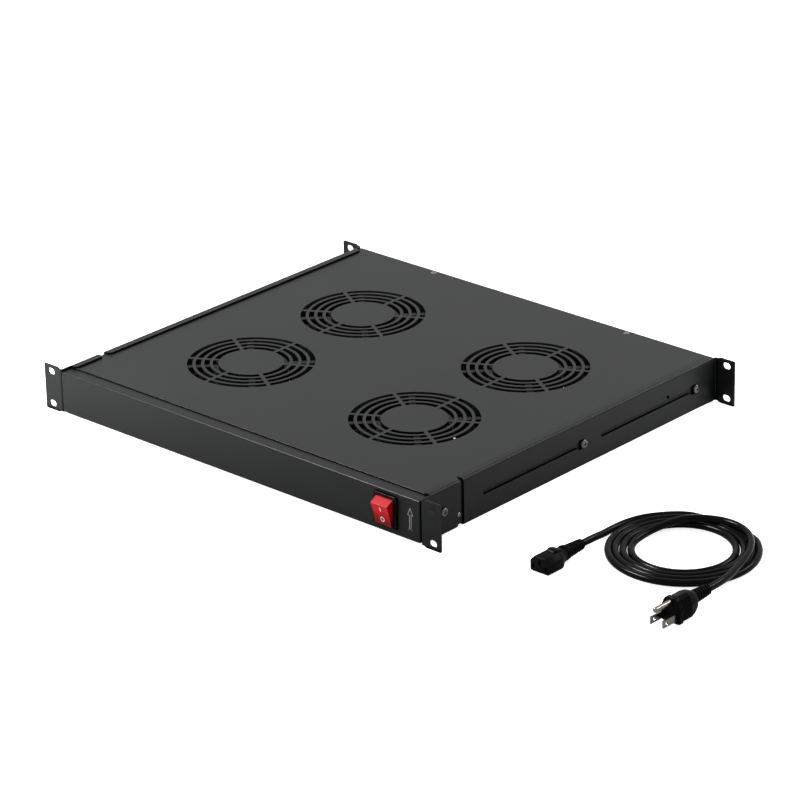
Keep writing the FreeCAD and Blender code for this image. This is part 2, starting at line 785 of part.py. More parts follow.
def make_fan_bearings():
    bearings = []
    top = tray_floor + fan_height - cup_recess - cup_height
    for x, y in fan_centres:
        bearings.append(ring(bearing_outer / 2, shaft_diameter / 2 + bearing_clearance,
                             bearing_length - 1, V(x, y, top - bearing_length + 0.5), Z_AXIS))
    return group(bearings)


def make_fan_stators():
    stators = []
    top = tray_floor + fan_height - cup_recess - cup_height
    tube_outer = bearing_outer / 2 + fit_gap / 2 + bearing_tube_wall
    for x, y in fan_centres:
        start = V(x, y, top - hub_gap - stator_height)
        stators.append(ring(stator_outer / 2, tube_outer + fit_gap, stator_height, start, Z_AXIS))
    return group(stators)


def make_fan_screws():
    screws = []
    for centre in fan_centres:
        for x, y in fan_screw_places(centre):
            screws.append(screw(V(x, y, chassis_bottom), Z_AXIS, screw_thread, fan_screw_length,
                                screw_head, fan_screw_head_height, recess=False))
    return group(screws)


def make_fan_nuts():
    nuts = []
    for centre in fan_centres:
        for x, y in fan_screw_places(centre):
            nuts.append(hex_nut(V(x, y, tray_floor + fan_flange), Z_AXIS, fan_nut_width,
                                fan_nut_height, screw_thread))
    return group(nuts)


# ---------------------------------------------------------------- rocker switch

def make_switch_housing():
    front = panel_face - bezel_thickness
    bezel = block(switch_x - bezel_width / 2, switch_x + bezel_width / 2, front, panel_face,
                  middle_z - bezel_height / 2, middle_z + bezel_height / 2, 1.5, "y")
    rim = [edge for edge in bezel.Edges if abs(edge.CenterOfMass.y - front) < 0.01]
    bezel = bezel.makeFillet(0.7, rim)
    body = box(switch_x - switch_body_width / 2, switch_x + switch_body_width / 2,
               panel_face - 0.5, panel_face + switch_body_depth,
               middle_z - switch_body_height / 2, middle_z + switch_body_height / 2)
    well_x = rocker_width / 2 + rocker_side_gap
    pivot_y = panel_face + rocker_pivot_behind_panel
    well_depth = rocker_opening_height / 2 * sin(radians(rocker_tilt)) - rocker_back_out + 1
    well = box(switch_x - well_x, switch_x + well_x, front - 1, pivot_y + well_depth,
               middle_z - rocker_opening_height / 2, middle_z + rocker_opening_height / 2)
    pins = rod(pivot_pin_diameter / 2 + pivot_clearance, rocker_width + 2 * pivot_pin_length + 0.6,
               V(switch_x - rocker_width / 2 - pivot_pin_length - 0.3, pivot_y, middle_z), X_AXIS)
    return fuse([bezel, body]).cut(group([well, pins]))


def make_switch_rocker():
    """Dished rocker on two stub pins, resting with its lower end pressed in."""
    pivot = V(switch_x, panel_face + rocker_pivot_behind_panel, middle_z)

    def place(out, up):
        return V(switch_x - rocker_width / 2, pivot.y - out, pivot.z + up)

    upper = [place(rocker_apex_out, rocker_apex_half), place(rocker_shoulder_out,
             rocker_shoulder_half), place(rocker_back_out, rocker_back_half)]
    lower = [place(rocker_back_out, -rocker_back_half), place(rocker_shoulder_out,
             -rocker_shoulder_half), place(rocker_apex_out, -rocker_apex_half)]
    corners = upper + lower
    edges = [Part.LineSegment(corners[i], corners[i + 1]).toShape() for i in range(5)]
    dish = Part.Arc(corners[5], place(rocker_apex_out - rocker_dish, 0), corners[0]).toShape()
    face = Part.Face(Part.Wire(edges + [dish]))
    paddle = face.extrude(V(rocker_width, 0, 0))
    crests = [edge for edge in paddle.Edges if abs(edge.CenterOfMass.x - switch_x) < 0.01
              and hypot(edge.CenterOfMass.y - pivot.y, edge.CenterOfMass.z - pivot.z)
              > apex_radius - 0.1]
    paddle = paddle.makeFillet(0.5, crests)
    pins = rod(pivot_pin_diameter / 2, rocker_width + 2 * pivot_pin_length,
               pivot - X_AXIS * (rocker_width / 2 + pivot_pin_length), X_AXIS)
    rocker = fuse([paddle, pins])
    rocker.rotate(pivot, X_AXIS, rocker_tilt)
    return rocker


def make_switch_terminals():
    tabs = []
    start = panel_face + switch_body_depth
    for sx in (-1, 1):
        for sz in (-1, 1):
            x = switch_x + sx * switch_terminal_pitch / 2
            z = middle_z + sz * switch_terminal_span / 2
            tabs.append(box(x - terminal_thickness / 2, x + terminal_thickness / 2,
                            start, start + terminal_length,
                            z - terminal_width / 2, z + terminal_width / 2))
    return group(tabs)


# ---------------------------------------------------------------- mains inlet

def inlet_section(width, height, corner, y0, y1):
    """The connector's shape: a rectangle with its two upper corners cut off."""
    half = width / 2
    low = middle_z - height / 2
    high = middle_z + height / 2
    outline = [(inlet_x - half, low, 0.8), (inlet_x + half, low, 0.8),
               (inlet_x + half, high - corner, 0.5), (inlet_x + half - corner, high, 0.5),
               (inlet_x - half + corner, high, 0.5), (inlet_x - half, high - corner, 0.5)]
    return plate(outline, lambda a, b: V(a, y0, b), V(0, y1 - y0, 0))


def make_inlet_body():
    outer = rear_face + inlet_flange_thickness
    flange = block(inlet_x - inlet_flange_width / 2, inlet_x + inlet_flange_width / 2,
                   rear_face, outer, middle_z - inlet_flange_height / 2,
                   middle_z + inlet_flange_height / 2, 4.0, "y")
    body = inlet_section(inlet_body_width, inlet_body_height, inlet_socket_corner,
                         rear_face - inlet_body_depth, rear_face + 0.5)
    socket = inlet_section(inlet_socket_width, inlet_socket_height, inlet_socket_corner,
                           outer - inlet_socket_depth, outer + 1)
    cuts = [socket]
    for side in (-1, 1):
        x = inlet_x + side * inlet_screw_span / 2
        cuts.append(rod(inlet_screw_thread / 2 + fit_gap, 10, V(x, rear_face - 2, middle_z), Y_AXIS))
        cuts.append(Part.makeCone(inlet_screw_thread / 2 + fit_gap, inlet_screw_head / 2 + fit_gap,
                                  1.5, V(x, outer - 1.5, middle_z), Y_AXIS))
    return fuse([flange, body]).cut(group(cuts))


def make_inlet_pins():
    """Line, neutral and earth pins, each with its solder tab behind the moulding."""
    pins = []
    root = rear_face + inlet_flange_thickness - inlet_socket_depth
    tab_start = rear_face - inlet_body_depth
    places = [(-inlet_pin_span / 2, -inlet_pin_offset), (inlet_pin_span / 2, -inlet_pin_offset),
              (0, inlet_pin_offset)]
    for dx, dz in places:
        x = inlet_x + dx
        z = middle_z + dz
        pin = box(x - inlet_pin_width / 2, x + inlet_pin_width / 2, root,
                  root + inlet_pin_length, z - inlet_pin_height / 2, z + inlet_pin_height / 2)
        tab = box(x - terminal_thickness / 2, x + terminal_thickness / 2,
                  tab_start - terminal_length, tab_start, z - inlet_pin_height / 2,
                  z + inlet_pin_height / 2)
        pins.extend([pin, tab])
    return group(pins)


def make_inlet_screws():
    screws = []
    outer = rear_face + inlet_flange_thickness
    for side in (-1, 1):
        top = V(inlet_x + side * inlet_screw_span / 2, outer, middle_z)
        inward = Y_AXIS * -1
        head = Part.makeCone(inlet_screw_head / 2, inlet_screw_thread / 2, 1.5, top, inward)
        shank = rod(inlet_screw_thread / 2, 9.0, top, inward)
        screws.append(fuse([head, shank]).cut(rod(0.9, 1.0, top, inward)))
    return group(screws)


def make_inlet_nuts():
    nuts = []
    start_y = rear_face - fit_gap - tray_sheet
    for side in (-1, 1):
        place = V(inlet_x + side * inlet_screw_span / 2, start_y, middle_z)
        nuts.append(hex_nut(place, Y_AXIS * -1, inlet_nut_width, inlet_nut_height,
                            inlet_screw_thread))
    return group(nuts)


# ---------------------------------------------------------------- terminal block and inner leads

def make_terminal_block():
    width = block_ways * block_pitch
    y = at(block_station)
    body = block(-width / 2, width / 2, y - block_depth / 2, y + block_depth / 2,
                 tray_floor, tray_floor + block_height, 1.0, "z")
    cuts = []
    for i in range(block_ways):
        x = (i - (block_ways - 1) / 2) * block_pitch
        for side in (-1, 1):
            cuts.append(rod(block_screw / 2 + 0.4, 8, V(x, y + side * block_depth / 4,
                            tray_floor + block_height - 5), Z_AXIS))
            start = V(x, y + side * (block_depth / 2 + 1), tray_floor + block_height / 2)
            cuts.append(rod(2.2, 5, start, Y_AXIS * -side))
    return body.cut(group(cuts))


def make_terminal_screws():
    screws = []
    y = at(block_station)
    for i in range(block_ways):
        x = (i - (block_ways - 1) / 2) * block_pitch
        for side in (-1, 1):
            screws.append(rod(block_screw / 2, 3.0, V(x, y + side * block_depth / 4,
                              tray_floor + block_height - 5), Z_AXIS))
    return group(screws)


def make_switch_lead():
    """Sleeved lead from the inlet's tabs along the right side to the switch."""
    z = tray_floor + lead_floor_gap + lead_diameter / 2
    side_x = switch_x + 8
    front = panel_face + switch_body_depth + terminal_length
    back = rear_face - inlet_body_depth - terminal_length
    route = [V(inlet_x, back, middle_z - 4), V(inlet_x + 2, back - 16, middle_z - 7),
             V(inlet_x + 14, back - 30, z + 2), V(side_x, back - 52, z),
             V(side_x + 2, back - 104, z), V(side_x - 1, back - 156, z),
             V(side_x + 2, back - 208, z), V(side_x, back - 260, z),
             V(side_x - 3, front + 56, z + 1), V(side_x - 7, front + 20, middle_z - 6),
             V(switch_x, front, middle_z - 4)]
    return tube(route, lead_diameter, 3 * lead_diameter)


def make_fan_leads():
    """Twin leads from each fan's inner side to its way of the terminal block."""
    z = tray_floor + lead_floor_gap + fan_lead_diameter / 2
    port_y = at(block_station) - block_depth / 2
    port_z = tray_floor + block_height / 2
    leads = []
    for i, (x, y) in enumerate(fan_centres):
        side = 1 if x > 0 else -1
        fan_edge = side * (fan_span_x / 2 - fan_size / 2)
        port_x = side * block_pitch * (0.5 if i < 2 else 1.5)
        lane = port_x + side * 3
        turn_x = fan_edge - side * 12
        route = [V(fan_edge, y - 20, z), V(turn_x, y - 20, z),
                 V(lane + (turn_x - lane) * 0.2, y - 10, z), V(lane, y + 10, z),
                 V(lane, port_y - 34, z), V(port_x, port_y - 13, port_z),
                 V(port_x, port_y, port_z)]
        leads.append(tube(route, fan_lead_diameter, 3 * fan_lead_diameter))
    return group(leads)


# ---------------------------------------------------------------- power cord, lying beside the tray

cord_z = cord_floor_gap + cord_diameter / 2
connector_y = at(connector_station)
connector_z = cord_floor_gap + nose_height / 2
plug_y = at(plug_station)
coil_centre = V(coil_x, at(coil_station), 0)
collar_y = connector_y + nose_length + shoulder_length
connector_end = collar_y + collar_length + relief_length
plug_end = plug_y + plug_length + relief_length

on_coil_z = cord_floor_gap + coil_height + 0.3 + cord_diameter / 2

# the stretch from the connector to the outside of the coil
lead_route = [V(connector_x, connector_end, connector_z),
              V(connector_x, connector_end + 16, connector_z),
              V(connector_x - 2.2, connector_end + 31, cord_z + 1.2),
              V(connector_x - 4.2, connector_end + 47, cord_z),
              V(connector_x - 3.2, connector_end + 63.5, cord_z),
              V(connector_x + 1.2, connector_end + 79, cord_z),
              V(connector_x + 9.6, connector_end + 92.5, cord_z),
              V(350.0, at(182.0), cord_z), V(364.5, at(190.5), cord_z),
              V(381.5, at(194.5), cord_z)]

# the stretch that climbs over the turns, rides on them and leads off to the plug
tail_route = [V(353.2, at(136.5), cord_z + 0.9), V(358.3, at(152.5), cord_z + 3.6),
              V(368.0, at(167.5), on_coil_z), V(383.0, at(180.0), on_coil_z + 0.3),
              V(401.5, at(186.6), on_coil_z), V(420.5, at(183.4), on_coil_z),
              V(436.0, at(172.0), on_coil_z), V(447.5, at(156.0), on_coil_z),
              V(455.0, at(138.5), on_coil_z), V(460.5, at(121.0), on_coil_z),
              V(465.5, at(104.0), on_coil_z + 0.6), V(plug_x, at(86.5), plug_axis_height),
              V(plug_x, plug_end, plug_axis_height)]


def nose_section(y, shrink):
    """The connector's outline, its two upper corners cut off, drawn in by shrink all round."""
    half = nose_width / 2 - shrink
    low = cord_floor_gap + shrink
    high = cord_floor_gap + nose_height - shrink
    cut = nose_corner - shrink * 0.6
    corners = [(connector_x - half, low), (connector_x + half, low),
               (connector_x + half, high - cut), (connector_x + half - cut, high),
               (connector_x - half + cut, high), (connector_x - half, high - cut)]
    points = [V(x, y, z) for x, z in corners]
    return Part.Wire(Part.__sortEdges__(rounded_edges(points, [1.4] * 6, True)))


def make_cord_connector():
    """Moulded socket end: flat nose, drawn-in shoulder with a finger hump, collar and relief."""
    nose = Part.Face(nose_section(connector_y, 0)).extrude(V(0, nose_length, 0))
    rim = [edge for edge in nose.Edges if abs(edge.CenterOfMass.y - connector_y) < 0.01]
    nose = nose.makeFillet(0.6, rim)
    neck = (nose_height - waist_height) / 2
    shoulder = Part.makeLoft([nose_section(connector_y + nose_length, 0),
                              nose_section(connector_y + nose_length + shoulder_length, neck)],
                             True, True)
    side_trim = block(connector_x - nose_width / 2, connector_x + nose_width / 2,
                      connector_y - 1, collar_y + 3, -1, nose_height + 1, 6.0, "z")
    middle = connector_y + nose_length - 1.5
    top = cord_floor_gap + nose_height
    hump = block(connector_x - waist_width / 2 - 1, connector_x + waist_width / 2 + 1,
                 middle - hump_length / 2, middle + hump_length / 2, top - 4, top + hump_rise,
                 2.6, "x")
    slots = []
    for dx, dz in [(-7, -2), (7, -2), (0, 2)]:
        slots.append(box(connector_x + dx - 1.2, connector_x + dx + 1.2, connector_y - 1,
                         connector_y + 12, connector_z + dz - 2.3, connector_z + dz + 2.3))
    collar = rod(collar_diameter / 2, collar_length * 0.45, V(connector_x, collar_y, connector_z),
                 Y_AXIS)
    step = rod(collar_diameter / 2 - 1.2, collar_length, V(connector_x, collar_y, connector_z),
               Y_AXIS)
    relief = make_strain_relief(V(connector_x, collar_y + collar_length, connector_z), Y_AXIS)
    body = fuse([nose, shoulder.common(side_trim)])
    return fuse([body, hump, collar, step, relief]).cut(group(slots))


def make_strain_relief(start, axis):
    """Tapered sleeve whose grooves leave ribs, closing down on the cord."""
    root = relief_root / 2
    end = relief_end / 2
    sleeve = Part.makeCone(root, end, relief_length, start, axis)
    pitch = relief_length / relief_ribs
    grooves = []
    for i in range(relief_ribs):
        place = start + axis * (i * pitch + (pitch - relief_groove) / 2)
        radius = root + (end - root) * i / relief_ribs
        grooves.append(ring(radius + 2, radius - 1.5, relief_groove, place, axis))
    return sleeve.cut(group(grooves))


def make_cord_coil():
    """Outer shape of the loose coil, side by side on the floor: a flat ring with eased edges."""
    low = cord_floor_gap
    high = low + coil_height
    section = [(coil_inner_radius + coil_edge, low), (coil_outer_radius - coil_edge, low),
               (coil_outer_radius, low + coil_edge), (coil_outer_radius, high - coil_edge),
               (coil_outer_radius - coil_edge, high), (coil_inner_radius + coil_edge, high),
               (coil_inner_radius, high - coil_edge), (coil_inner_radius, low + coil_edge)]
    points = [coil_centre + V(a, 0, b) for a, b in section]
    return Part.Face(Part.Wire(Part.makePolygon(points + points[:1]))).revolve(
        coil_centre, Z_AXIS, 360)


def plug_front(shrink):
    """The plug's outline seen from its pins: flat below, round above."""
    half = plug_width / 2 - shrink
    low = cord_floor_gap + shrink
    high = cord_floor_gap + plug_height - shrink
    crown = half * 0.62
    outline = [(plug_x - half, low, 2.5), (plug_x + half, low, 2.5), (plug_x + half, 11.5, 6.0),
               (plug_x + crown, high, 6.5), (plug_x - crown, high, 6.5),
               (plug_x - half, 11.5, 6.0)]
    return plate(outline, lambda a, b: V(a, plug_y, b), V(0, plug_length, 0))


def make_cord_plug():
    """Moulded three-pin plug: a rim behind the pins, a body drawn in to the strain relief."""
    half = plug_width / 2
    back = plug_y + plug_length
    low = cord_floor_gap
    high = low + plug_height
    neck = relief_root / 2 + 1.2
    plan = [(plug_x - half, plug_y, 1.0), (plug_x + half, plug_y, 1.0),
            (plug_x + half, back - 11, 8.0), (plug_x + neck, back, 1.5),
            (plug_x - neck, back, 1.5), (plug_x - half, back - 11, 8.0)]
    side = [(plug_y, low, 1.0), (back - 9, low, 6.0), (back, plug_axis_height - neck, 1.5),
            (back, plug_axis_height + neck, 1.5), (back - 11, high, 8.0), (plug_y, high, 1.0)]
    trim = plate(plan, lambda a, b: V(a, b, 0), V(0, 0, high))
    trim = trim.common(plate(side, lambda a, b: V(plug_x - half, a, b), V(plug_width, 0, 0)))
    rim = plug_front(0).common(box(plug_x - half, plug_x + half, plug_y, plug_y + plug_rim, 0, high))
    body = fuse([rim, plug_front(plug_rim_step)]).common(trim)
    relief = make_strain_relief(V(plug_x, back, plug_axis_height), Y_AXIS)
    return fuse([body, relief])


def make_plug_blades():
    blades = []
    for side in (-1, 1):
        x = plug_x + side * blade_span / 2
        blade = box(x - blade_thick / 2, x + blade_thick / 2, plug_y - blade_length, plug_y,
                    blade_axis_height - blade_height / 2, blade_axis_height + blade_height / 2)
        hole = rod(1.6, blade_thick + 2, V(x - blade_thick, plug_y - blade_length + 4,
                   blade_axis_height), X_AXIS)
        blades.append(blade.cut(hole))
    return group(blades)


def make_plug_ground_pin():
    centre = V(plug_x, plug_y, blade_axis_height + ground_above_blades)
    pin = rod(ground_pin_diameter / 2, ground_pin_length, centre, Y_AXIS * -1)
    tip = [edge for edge in pin.Edges
           if abs(edge.CenterOfMass.y - plug_y + ground_pin_length) < 0.01]
    return pin.makeFillet(ground_pin_diameter * 0.35, tip)


# ---------------------------------------------------------------- build

os.makedirs("parts", exist_ok=True)
save("base_tray", make_base_tray())
save("top_cover", make_top_cover())
front_right = make_front_bracket()
save("front_bracket_right", front_right)
save("front_bracket_left", mirrored(front_right))
rear_right = make_rear_bracket()
save("rear_bracket_right", rear_right)
save("rear_bracket_left", mirrored(rear_right))
save("bracket_screws", make_bracket_screws())
save("clinch_nuts", make_clinch_nuts())
save("side_rivets", make_side_rivets())
save("cover_screws", make_cover_screws())
for number, fan_centre in enumerate(fan_centres, 1):
    save("fan_frame_%d" % number, make_fan_frame(fan_centre))
    save("fan_rotor_%d" % number, make_fan_rotor(fan_centre))
save("fan_bearings", make_fan_bearings())
save("fan_stators", make_fan_stators())
save("fan_screws", make_fan_screws())
save("fan_nuts", make_fan_nuts())
save("switch_housing", make_switch_housing())
save("switch_rocker", make_switch_rocker())
save("switch_terminals", make_switch_terminals())
save("inlet_body", make_inlet_body())
save("inlet_pins", make_inlet_pins())
save("inlet_screws", make_inlet_screws())
save("inlet_nuts", make_inlet_nuts())
save("terminal_block", make_terminal_block())
save("terminal_screws", make_terminal_screws())
save("switch_lead", make_switch_lead())
save("fan_leads", make_fan_leads())
save("cord_connector", make_cord_connector())
save("cord_lead", tube(lead_route, cord_diameter, 5 * cord_diameter))
save("cord_coil", make_cord_coil())
save("cord_tail", tube(tail_route, cord_diameter, 5 * cord_diameter))
save("cord_plug", make_cord_plug())
save("plug_blades", make_plug_blades())
save("plug_ground_pin", make_plug_ground_pin())
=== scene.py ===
from math import cos, pi, radians, sin, tan

import bmesh
import bpy
from mathutils import Matrix, Vector
from mathutils.bvhtree import BVHTree


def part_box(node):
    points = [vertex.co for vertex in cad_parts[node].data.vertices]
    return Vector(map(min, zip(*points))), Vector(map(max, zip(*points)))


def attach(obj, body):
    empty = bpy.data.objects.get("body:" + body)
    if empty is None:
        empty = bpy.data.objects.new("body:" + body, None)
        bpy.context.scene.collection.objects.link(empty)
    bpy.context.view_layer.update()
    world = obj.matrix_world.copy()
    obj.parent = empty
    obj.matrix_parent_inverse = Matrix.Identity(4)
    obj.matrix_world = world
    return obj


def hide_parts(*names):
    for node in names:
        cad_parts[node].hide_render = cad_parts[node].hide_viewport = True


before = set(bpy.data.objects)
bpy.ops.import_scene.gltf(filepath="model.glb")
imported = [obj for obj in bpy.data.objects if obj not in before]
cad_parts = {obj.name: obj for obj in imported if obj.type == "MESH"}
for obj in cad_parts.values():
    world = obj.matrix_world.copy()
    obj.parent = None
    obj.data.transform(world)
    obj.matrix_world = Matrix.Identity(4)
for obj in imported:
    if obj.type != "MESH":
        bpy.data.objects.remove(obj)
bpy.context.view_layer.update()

# ---------------------------------------------------------------- camera
# The tray is seen from the front right and a little above, from far off, so that its edges
# stay nearly parallel. The camera leans by about a degree.
VIEW_AZIMUTH = radians(42.649)
VIEW_ELEVATION = radians(23.360)
VIEW_LEAN = radians(-1.187)
VIEW_STAND = Vector((2.21808, -2.38910, 1.41588))
LENS = 175.592
SENSOR = 36.0
VIEW_REACH = 60.0

backward = Vector((sin(VIEW_AZIMUTH) * cos(VIEW_ELEVATION),
                   -cos(VIEW_AZIMUTH) * cos(VIEW_ELEVATION), sin(VIEW_ELEVATION)))
level = Vector((0, 0, 1)).cross(backward).normalized()
upright = backward.cross(level)
across = level * cos(VIEW_LEAN) + upright * sin(VIEW_LEAN)
upward = upright * cos(VIEW_LEAN) - level * sin(VIEW_LEAN)
camera = bpy.data.objects.new("camera", bpy.data.cameras.new("camera"))
bpy.context.scene.collection.objects.link(camera)
aim = Matrix((across, upward, backward)).transposed()
camera.matrix_world = Matrix.Translation(VIEW_STAND) @ aim.to_4x4()
camera.data.lens = LENS
camera.data.sensor_width = SENSOR
camera.data.clip_end = VIEW_REACH
bpy.context.scene.camera = camera


# ---------------------------------------------------------------- power cord
# A three-core flexible mains lead, 6.4 mm across, in soft PVC. It runs from the moulded
# connector into four turns lying side by side, climbs over them and ends in the plug.
MM = 0.001
CORD = 6.4 * MM
CORD_FLOOR_GAP = 0.2 * MM
LAYER_GAP = 0.5 * MM
COIL_MIDDLE = (397.0, 130.0)
COIL_RADIUS = 64.0
COIL_START_TURN = 0.14
COIL_END_TURN = 3.86
JOIN_ANGLE = 132.0
LANE = 6.5
LANE_CHANGE = 0.25
SWAY = 0.35
SWAYS_A_TURN = 2.3
SWAY_PHASE = 0.7
TURN_POINTS = 16
EXIT_HEIGHT = 7.25
PLUG_HEIGHT = 12.0

ear_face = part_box("front_bracket_right")[0].y
cord_z = (CORD_FLOOR_GAP + CORD / 2) / MM
top_z = cord_z + (CORD + LAYER_GAP) / MM
connector_low, connector_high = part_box("cord_connector")
plug_low, plug_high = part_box("cord_plug")
exit_x = (connector_low.x + connector_high.x) / 2 / MM
exit_station = (connector_high.y - ear_face) / MM
plug_x = (plug_low.x + plug_high.x) / 2 / MM
plug_end = (plug_high.y - ear_face) / MM


def spot(x, station, z):
    """A place in metres from millimetres, its second number counted from the front ear's face."""
    return Vector((x * MM, ear_face + station * MM, z * MM))


# The lead leaves the connector's sleeve, drops to the floor and swings out to meet the coil.
lead = [spot(exit_x, exit_station, EXIT_HEIGHT)]
for aside, behind, z in ((0.0, 16.0, EXIT_HEIGHT), (-2.2, 31.0, cord_z + 1.2),
                         (-4.2, 47.0, cord_z), (-3.2, 63.5, cord_z), (1.2, 79.0, cord_z),
                         (9.6, 92.5, cord_z)):
    lead.append(spot(exit_x + aside, exit_station + behind, z))
lead += [spot(350.0, 182.0, cord_z), spot(364.5, 190.5, cord_z)]

# Each turn lies one lane inside the last, and changes lane in the first part of the round. The
# points stand a little outside the turn, because the curve passes inside them.
turns = []
pull = (1 + 1 / cos(pi / TURN_POINTS)) / 2
first = int(COIL_START_TURN * TURN_POINTS) + 1
for i in range(first, int(COIL_END_TURN * TURN_POINTS) + 1):
    done = i / TURN_POINTS
    lane = int(done)
    shift = min(1.0, (done - lane) / LANE_CHANGE)
    shift = shift * shift * (3 - 2 * shift)
    sway = SWAY * sin(SWAYS_A_TURN * done * 2 * pi + SWAY_PHASE)
    radius = (COIL_RADIUS + LANE - LANE * (lane + shift) + sway) * pull
    angle = radians(JOIN_ANGLE - 360 * done)
    turns.append(spot(COIL_MIDDLE[0] + radius * cos(angle),
                      COIL_MIDDLE[1] + radius * sin(angle), cord_z))

# The tail climbs on to the coil, rides over it for half a round and comes down to the plug.
tail = [spot(353.2, 136.5, cord_z + 0.9), spot(358.3, 152.5, cord_z + 3.6),
        spot(368.0, 167.5, top_z), spot(383.0, 180.0, top_z + 0.3), spot(401.5, 186.6, top_z),
        spot(420.5, 183.4, top_z), spot(436.0, 172.0, top_z), spot(447.5, 156.0, top_z),
        spot(455.0, 138.5, top_z), spot(460.5, 121.0, top_z), spot(465.5, 104.0, top_z + 0.6),
        spot(plug_x, 86.5, PLUG_HEIGHT), spot(plug_x, plug_end, PLUG_HEIGHT)]
route = lead + turns + tail

cord_line = bpy.data.curves.new("power_cord", "CURVE")
cord_line.dimensions = "3D"
cord_line.bevel_depth = CORD / 2
cord_line.bevel_resolution = 5
cord_line.resolution_u = 5
cord_line.use_fill_caps = True
spline = cord_line.splines.new("NURBS")
spline.points.add(len(route) - 1)
for point, place in zip(spline.points, route):
    point.co = (*place, 1.0)
spline.order_u = 3
spline.use_endpoint_u = True
power_cord = bpy.data.objects.new("power_cord", cord_line)
bpy.context.scene.collection.objects.link(power_cord)


def linear(code):
    """A colour written as sRGB hex, as the linear values that shaders take."""
    parts = [int(code[i:i + 2], 16) / 255 for i in (1, 3, 5)]
    return (*[c / 12.92 if c <= 0.04045 else ((c + 0.055) / 1.055) ** 2.4 for c in parts], 1.0)


def add(tree, kind, sockets=None, **settings):
    """Adds a node; a socket is given a number or colour, or the output that feeds it."""
    made = tree.nodes.new(kind)
    for name, value in settings.items():
        setattr(made, name, value)
    for key, value in (sockets or {}).items():
        if isinstance(value, bpy.types.NodeSocket):
            tree.links.new(value, made.inputs[key])
        else:
            made.inputs[key].default_value = value
    return made


def new_material(name):
    """An empty material; returns it with its node tree and its coordinates in metres."""
    material = bpy.data.materials.new(name)
    material.use_nodes = True
    tree = material.node_tree
    tree.nodes.clear()
    place = add(tree, "ShaderNodeTexCoord").outputs["Object"]
    return material, tree, place


# Extruded plasticised PVC: black with a soft sheen, whose long highlights are a little broken
# by a fine grain. The grain is drawn coarser than it is, to show.
PVC_BLACK = "#060607"
PVC_WORN = "#0b0b0c"
PVC_GRAIN = 0.6 * MM
PVC_CLOUD = 16 * MM
pvc_jacket, tree, place = new_material("extruded_pvc_jacket")
patches = add(tree, "ShaderNodeTexNoise", {"Vector": place, "Scale": 1 / PVC_CLOUD,
              "Detail": 3.0})
colour = add(tree, "ShaderNodeMix", {"Factor": patches.outputs["Fac"], "A": linear(PVC_BLACK),
             "B": linear(PVC_WORN)}, data_type="RGBA")
grain = add(tree, "ShaderNodeTexNoise", {"Vector": place, "Scale": 1 / PVC_GRAIN, "Detail": 2.0})
bump = add(tree, "ShaderNodeBump", {"Height": grain.outputs["Fac"], "Strength": 0.1,
           "Distance": 0.04 * MM})
jacket = add(tree, "ShaderNodeBsdfPrincipled", {"Base Color": colour.outputs["Result"],
             "Roughness": 0.2, "IOR": 1.53, "Specular IOR Level": 0.035,
             "Normal": bump.outputs["Normal"]})
add(tree, "ShaderNodeOutputMaterial", {"Surface": jacket.outputs["BSDF"]})
cord_line.materials.append(pvc_jacket)
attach(power_cord, "chassis")
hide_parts("cord_lead", "cord_coil", "cord_tail")

# ---------------------------------------------------------------- cord connector
# The socket end is PVC moulded over its contacts: a flat six-sided nose with three slots, a
# finger hump, a drawn-in neck, a collar and a ribbed sleeve that lets the lead bend.
NOSE = 19.0
NOSE_HALF = 10.35
NOSE_LOW = 0.2
NOSE_HIGH = 14.3
NOSE_CORNER = 2.6
CHAMFER_CORNER = 1.2
NECK_END = 29.5
COLLAR_END = 34.0
HUMP_FOOT = 9.0
HUMP_CORNER = 1.0
HUMP_CROWN = 2.4
CONTACT_SLOT_HALF = (1.1, 2.2)
CONTACT_SLOT_DEPTH = 12.0
CONTACT_SLOT_OVERCUT = 2.0
CONTACT_SLOTS = ((-6.8, -2.0), (6.8, -2.0), (0.0, 2.0))
SLEEVE = 20.0
SLEEVE_RIBS = 6
SLEEVE_ROOT = 6.2
SLEEVE_TIP = 4.9
SLEEVE_CORE = 0.1
RIB_DEPTH = 1.25
RIB_SHAPE = ((0.12, 0.0), (0.42, 0.05), (0.56, 0.35), (0.64, 1.0), (0.84, 1.0), (0.92, 0.35))
RING_SIDES = 36
CORNER_STEPS = 5
CORNER_SHARE = 0.48


def rounded_outline(corners):
    """Points round a flat outline; each corner is (across, up, radius)."""
    points = []
    for i, (x, z, radius) in enumerate(corners):
        here = Vector((x, z))
        back = Vector(corners[i - 1][:2]) - here
        ahead = Vector(corners[(i + 1) % len(corners)][:2]) - here
        reach = min(radius / tan(back.angle(ahead) / 2), CORNER_SHARE * back.length,
                    CORNER_SHARE * ahead.length)
        start = here + back.normalized() * reach
        end = here + ahead.normalized() * reach
        for j in range(CORNER_STEPS + 1):
            t = j / CORNER_STEPS
            points.append(start * (1 - t) ** 2 + here * 2 * t * (1 - t) + end * t ** 2)
    return points


def skin(rings):
    """Points and faces of a closed body stretched over rings of equally many points."""
    count = len(rings[0])
    points = [point for ring in rings for point in ring]
    faces = [list(range(count))[::-1], [len(points) - count + i for i in range(count)]]
    for row in range(len(rings) - 1):
        for i in range(count):
            j = (i + 1) % count
            faces.append([row * count + i, row * count + j, (row + 1) * count + j,
                          (row + 1) * count + i])
    return points, faces


def upright_outline(corners, station):
    """A rounded outline stood up across the cord's line, at a station."""
    return [spot(point.x, station, point.y) for point in rounded_outline(corners)]


def upright_circle(x, z, radius, station):
    """A circle of points stood up across the cord's line, at a station."""
    angles = [2 * pi * i / RING_SIDES for i in range(RING_SIDES)]
    return [spot(x + radius * cos(angle), station, z + radius * sin(angle)) for angle in angles]


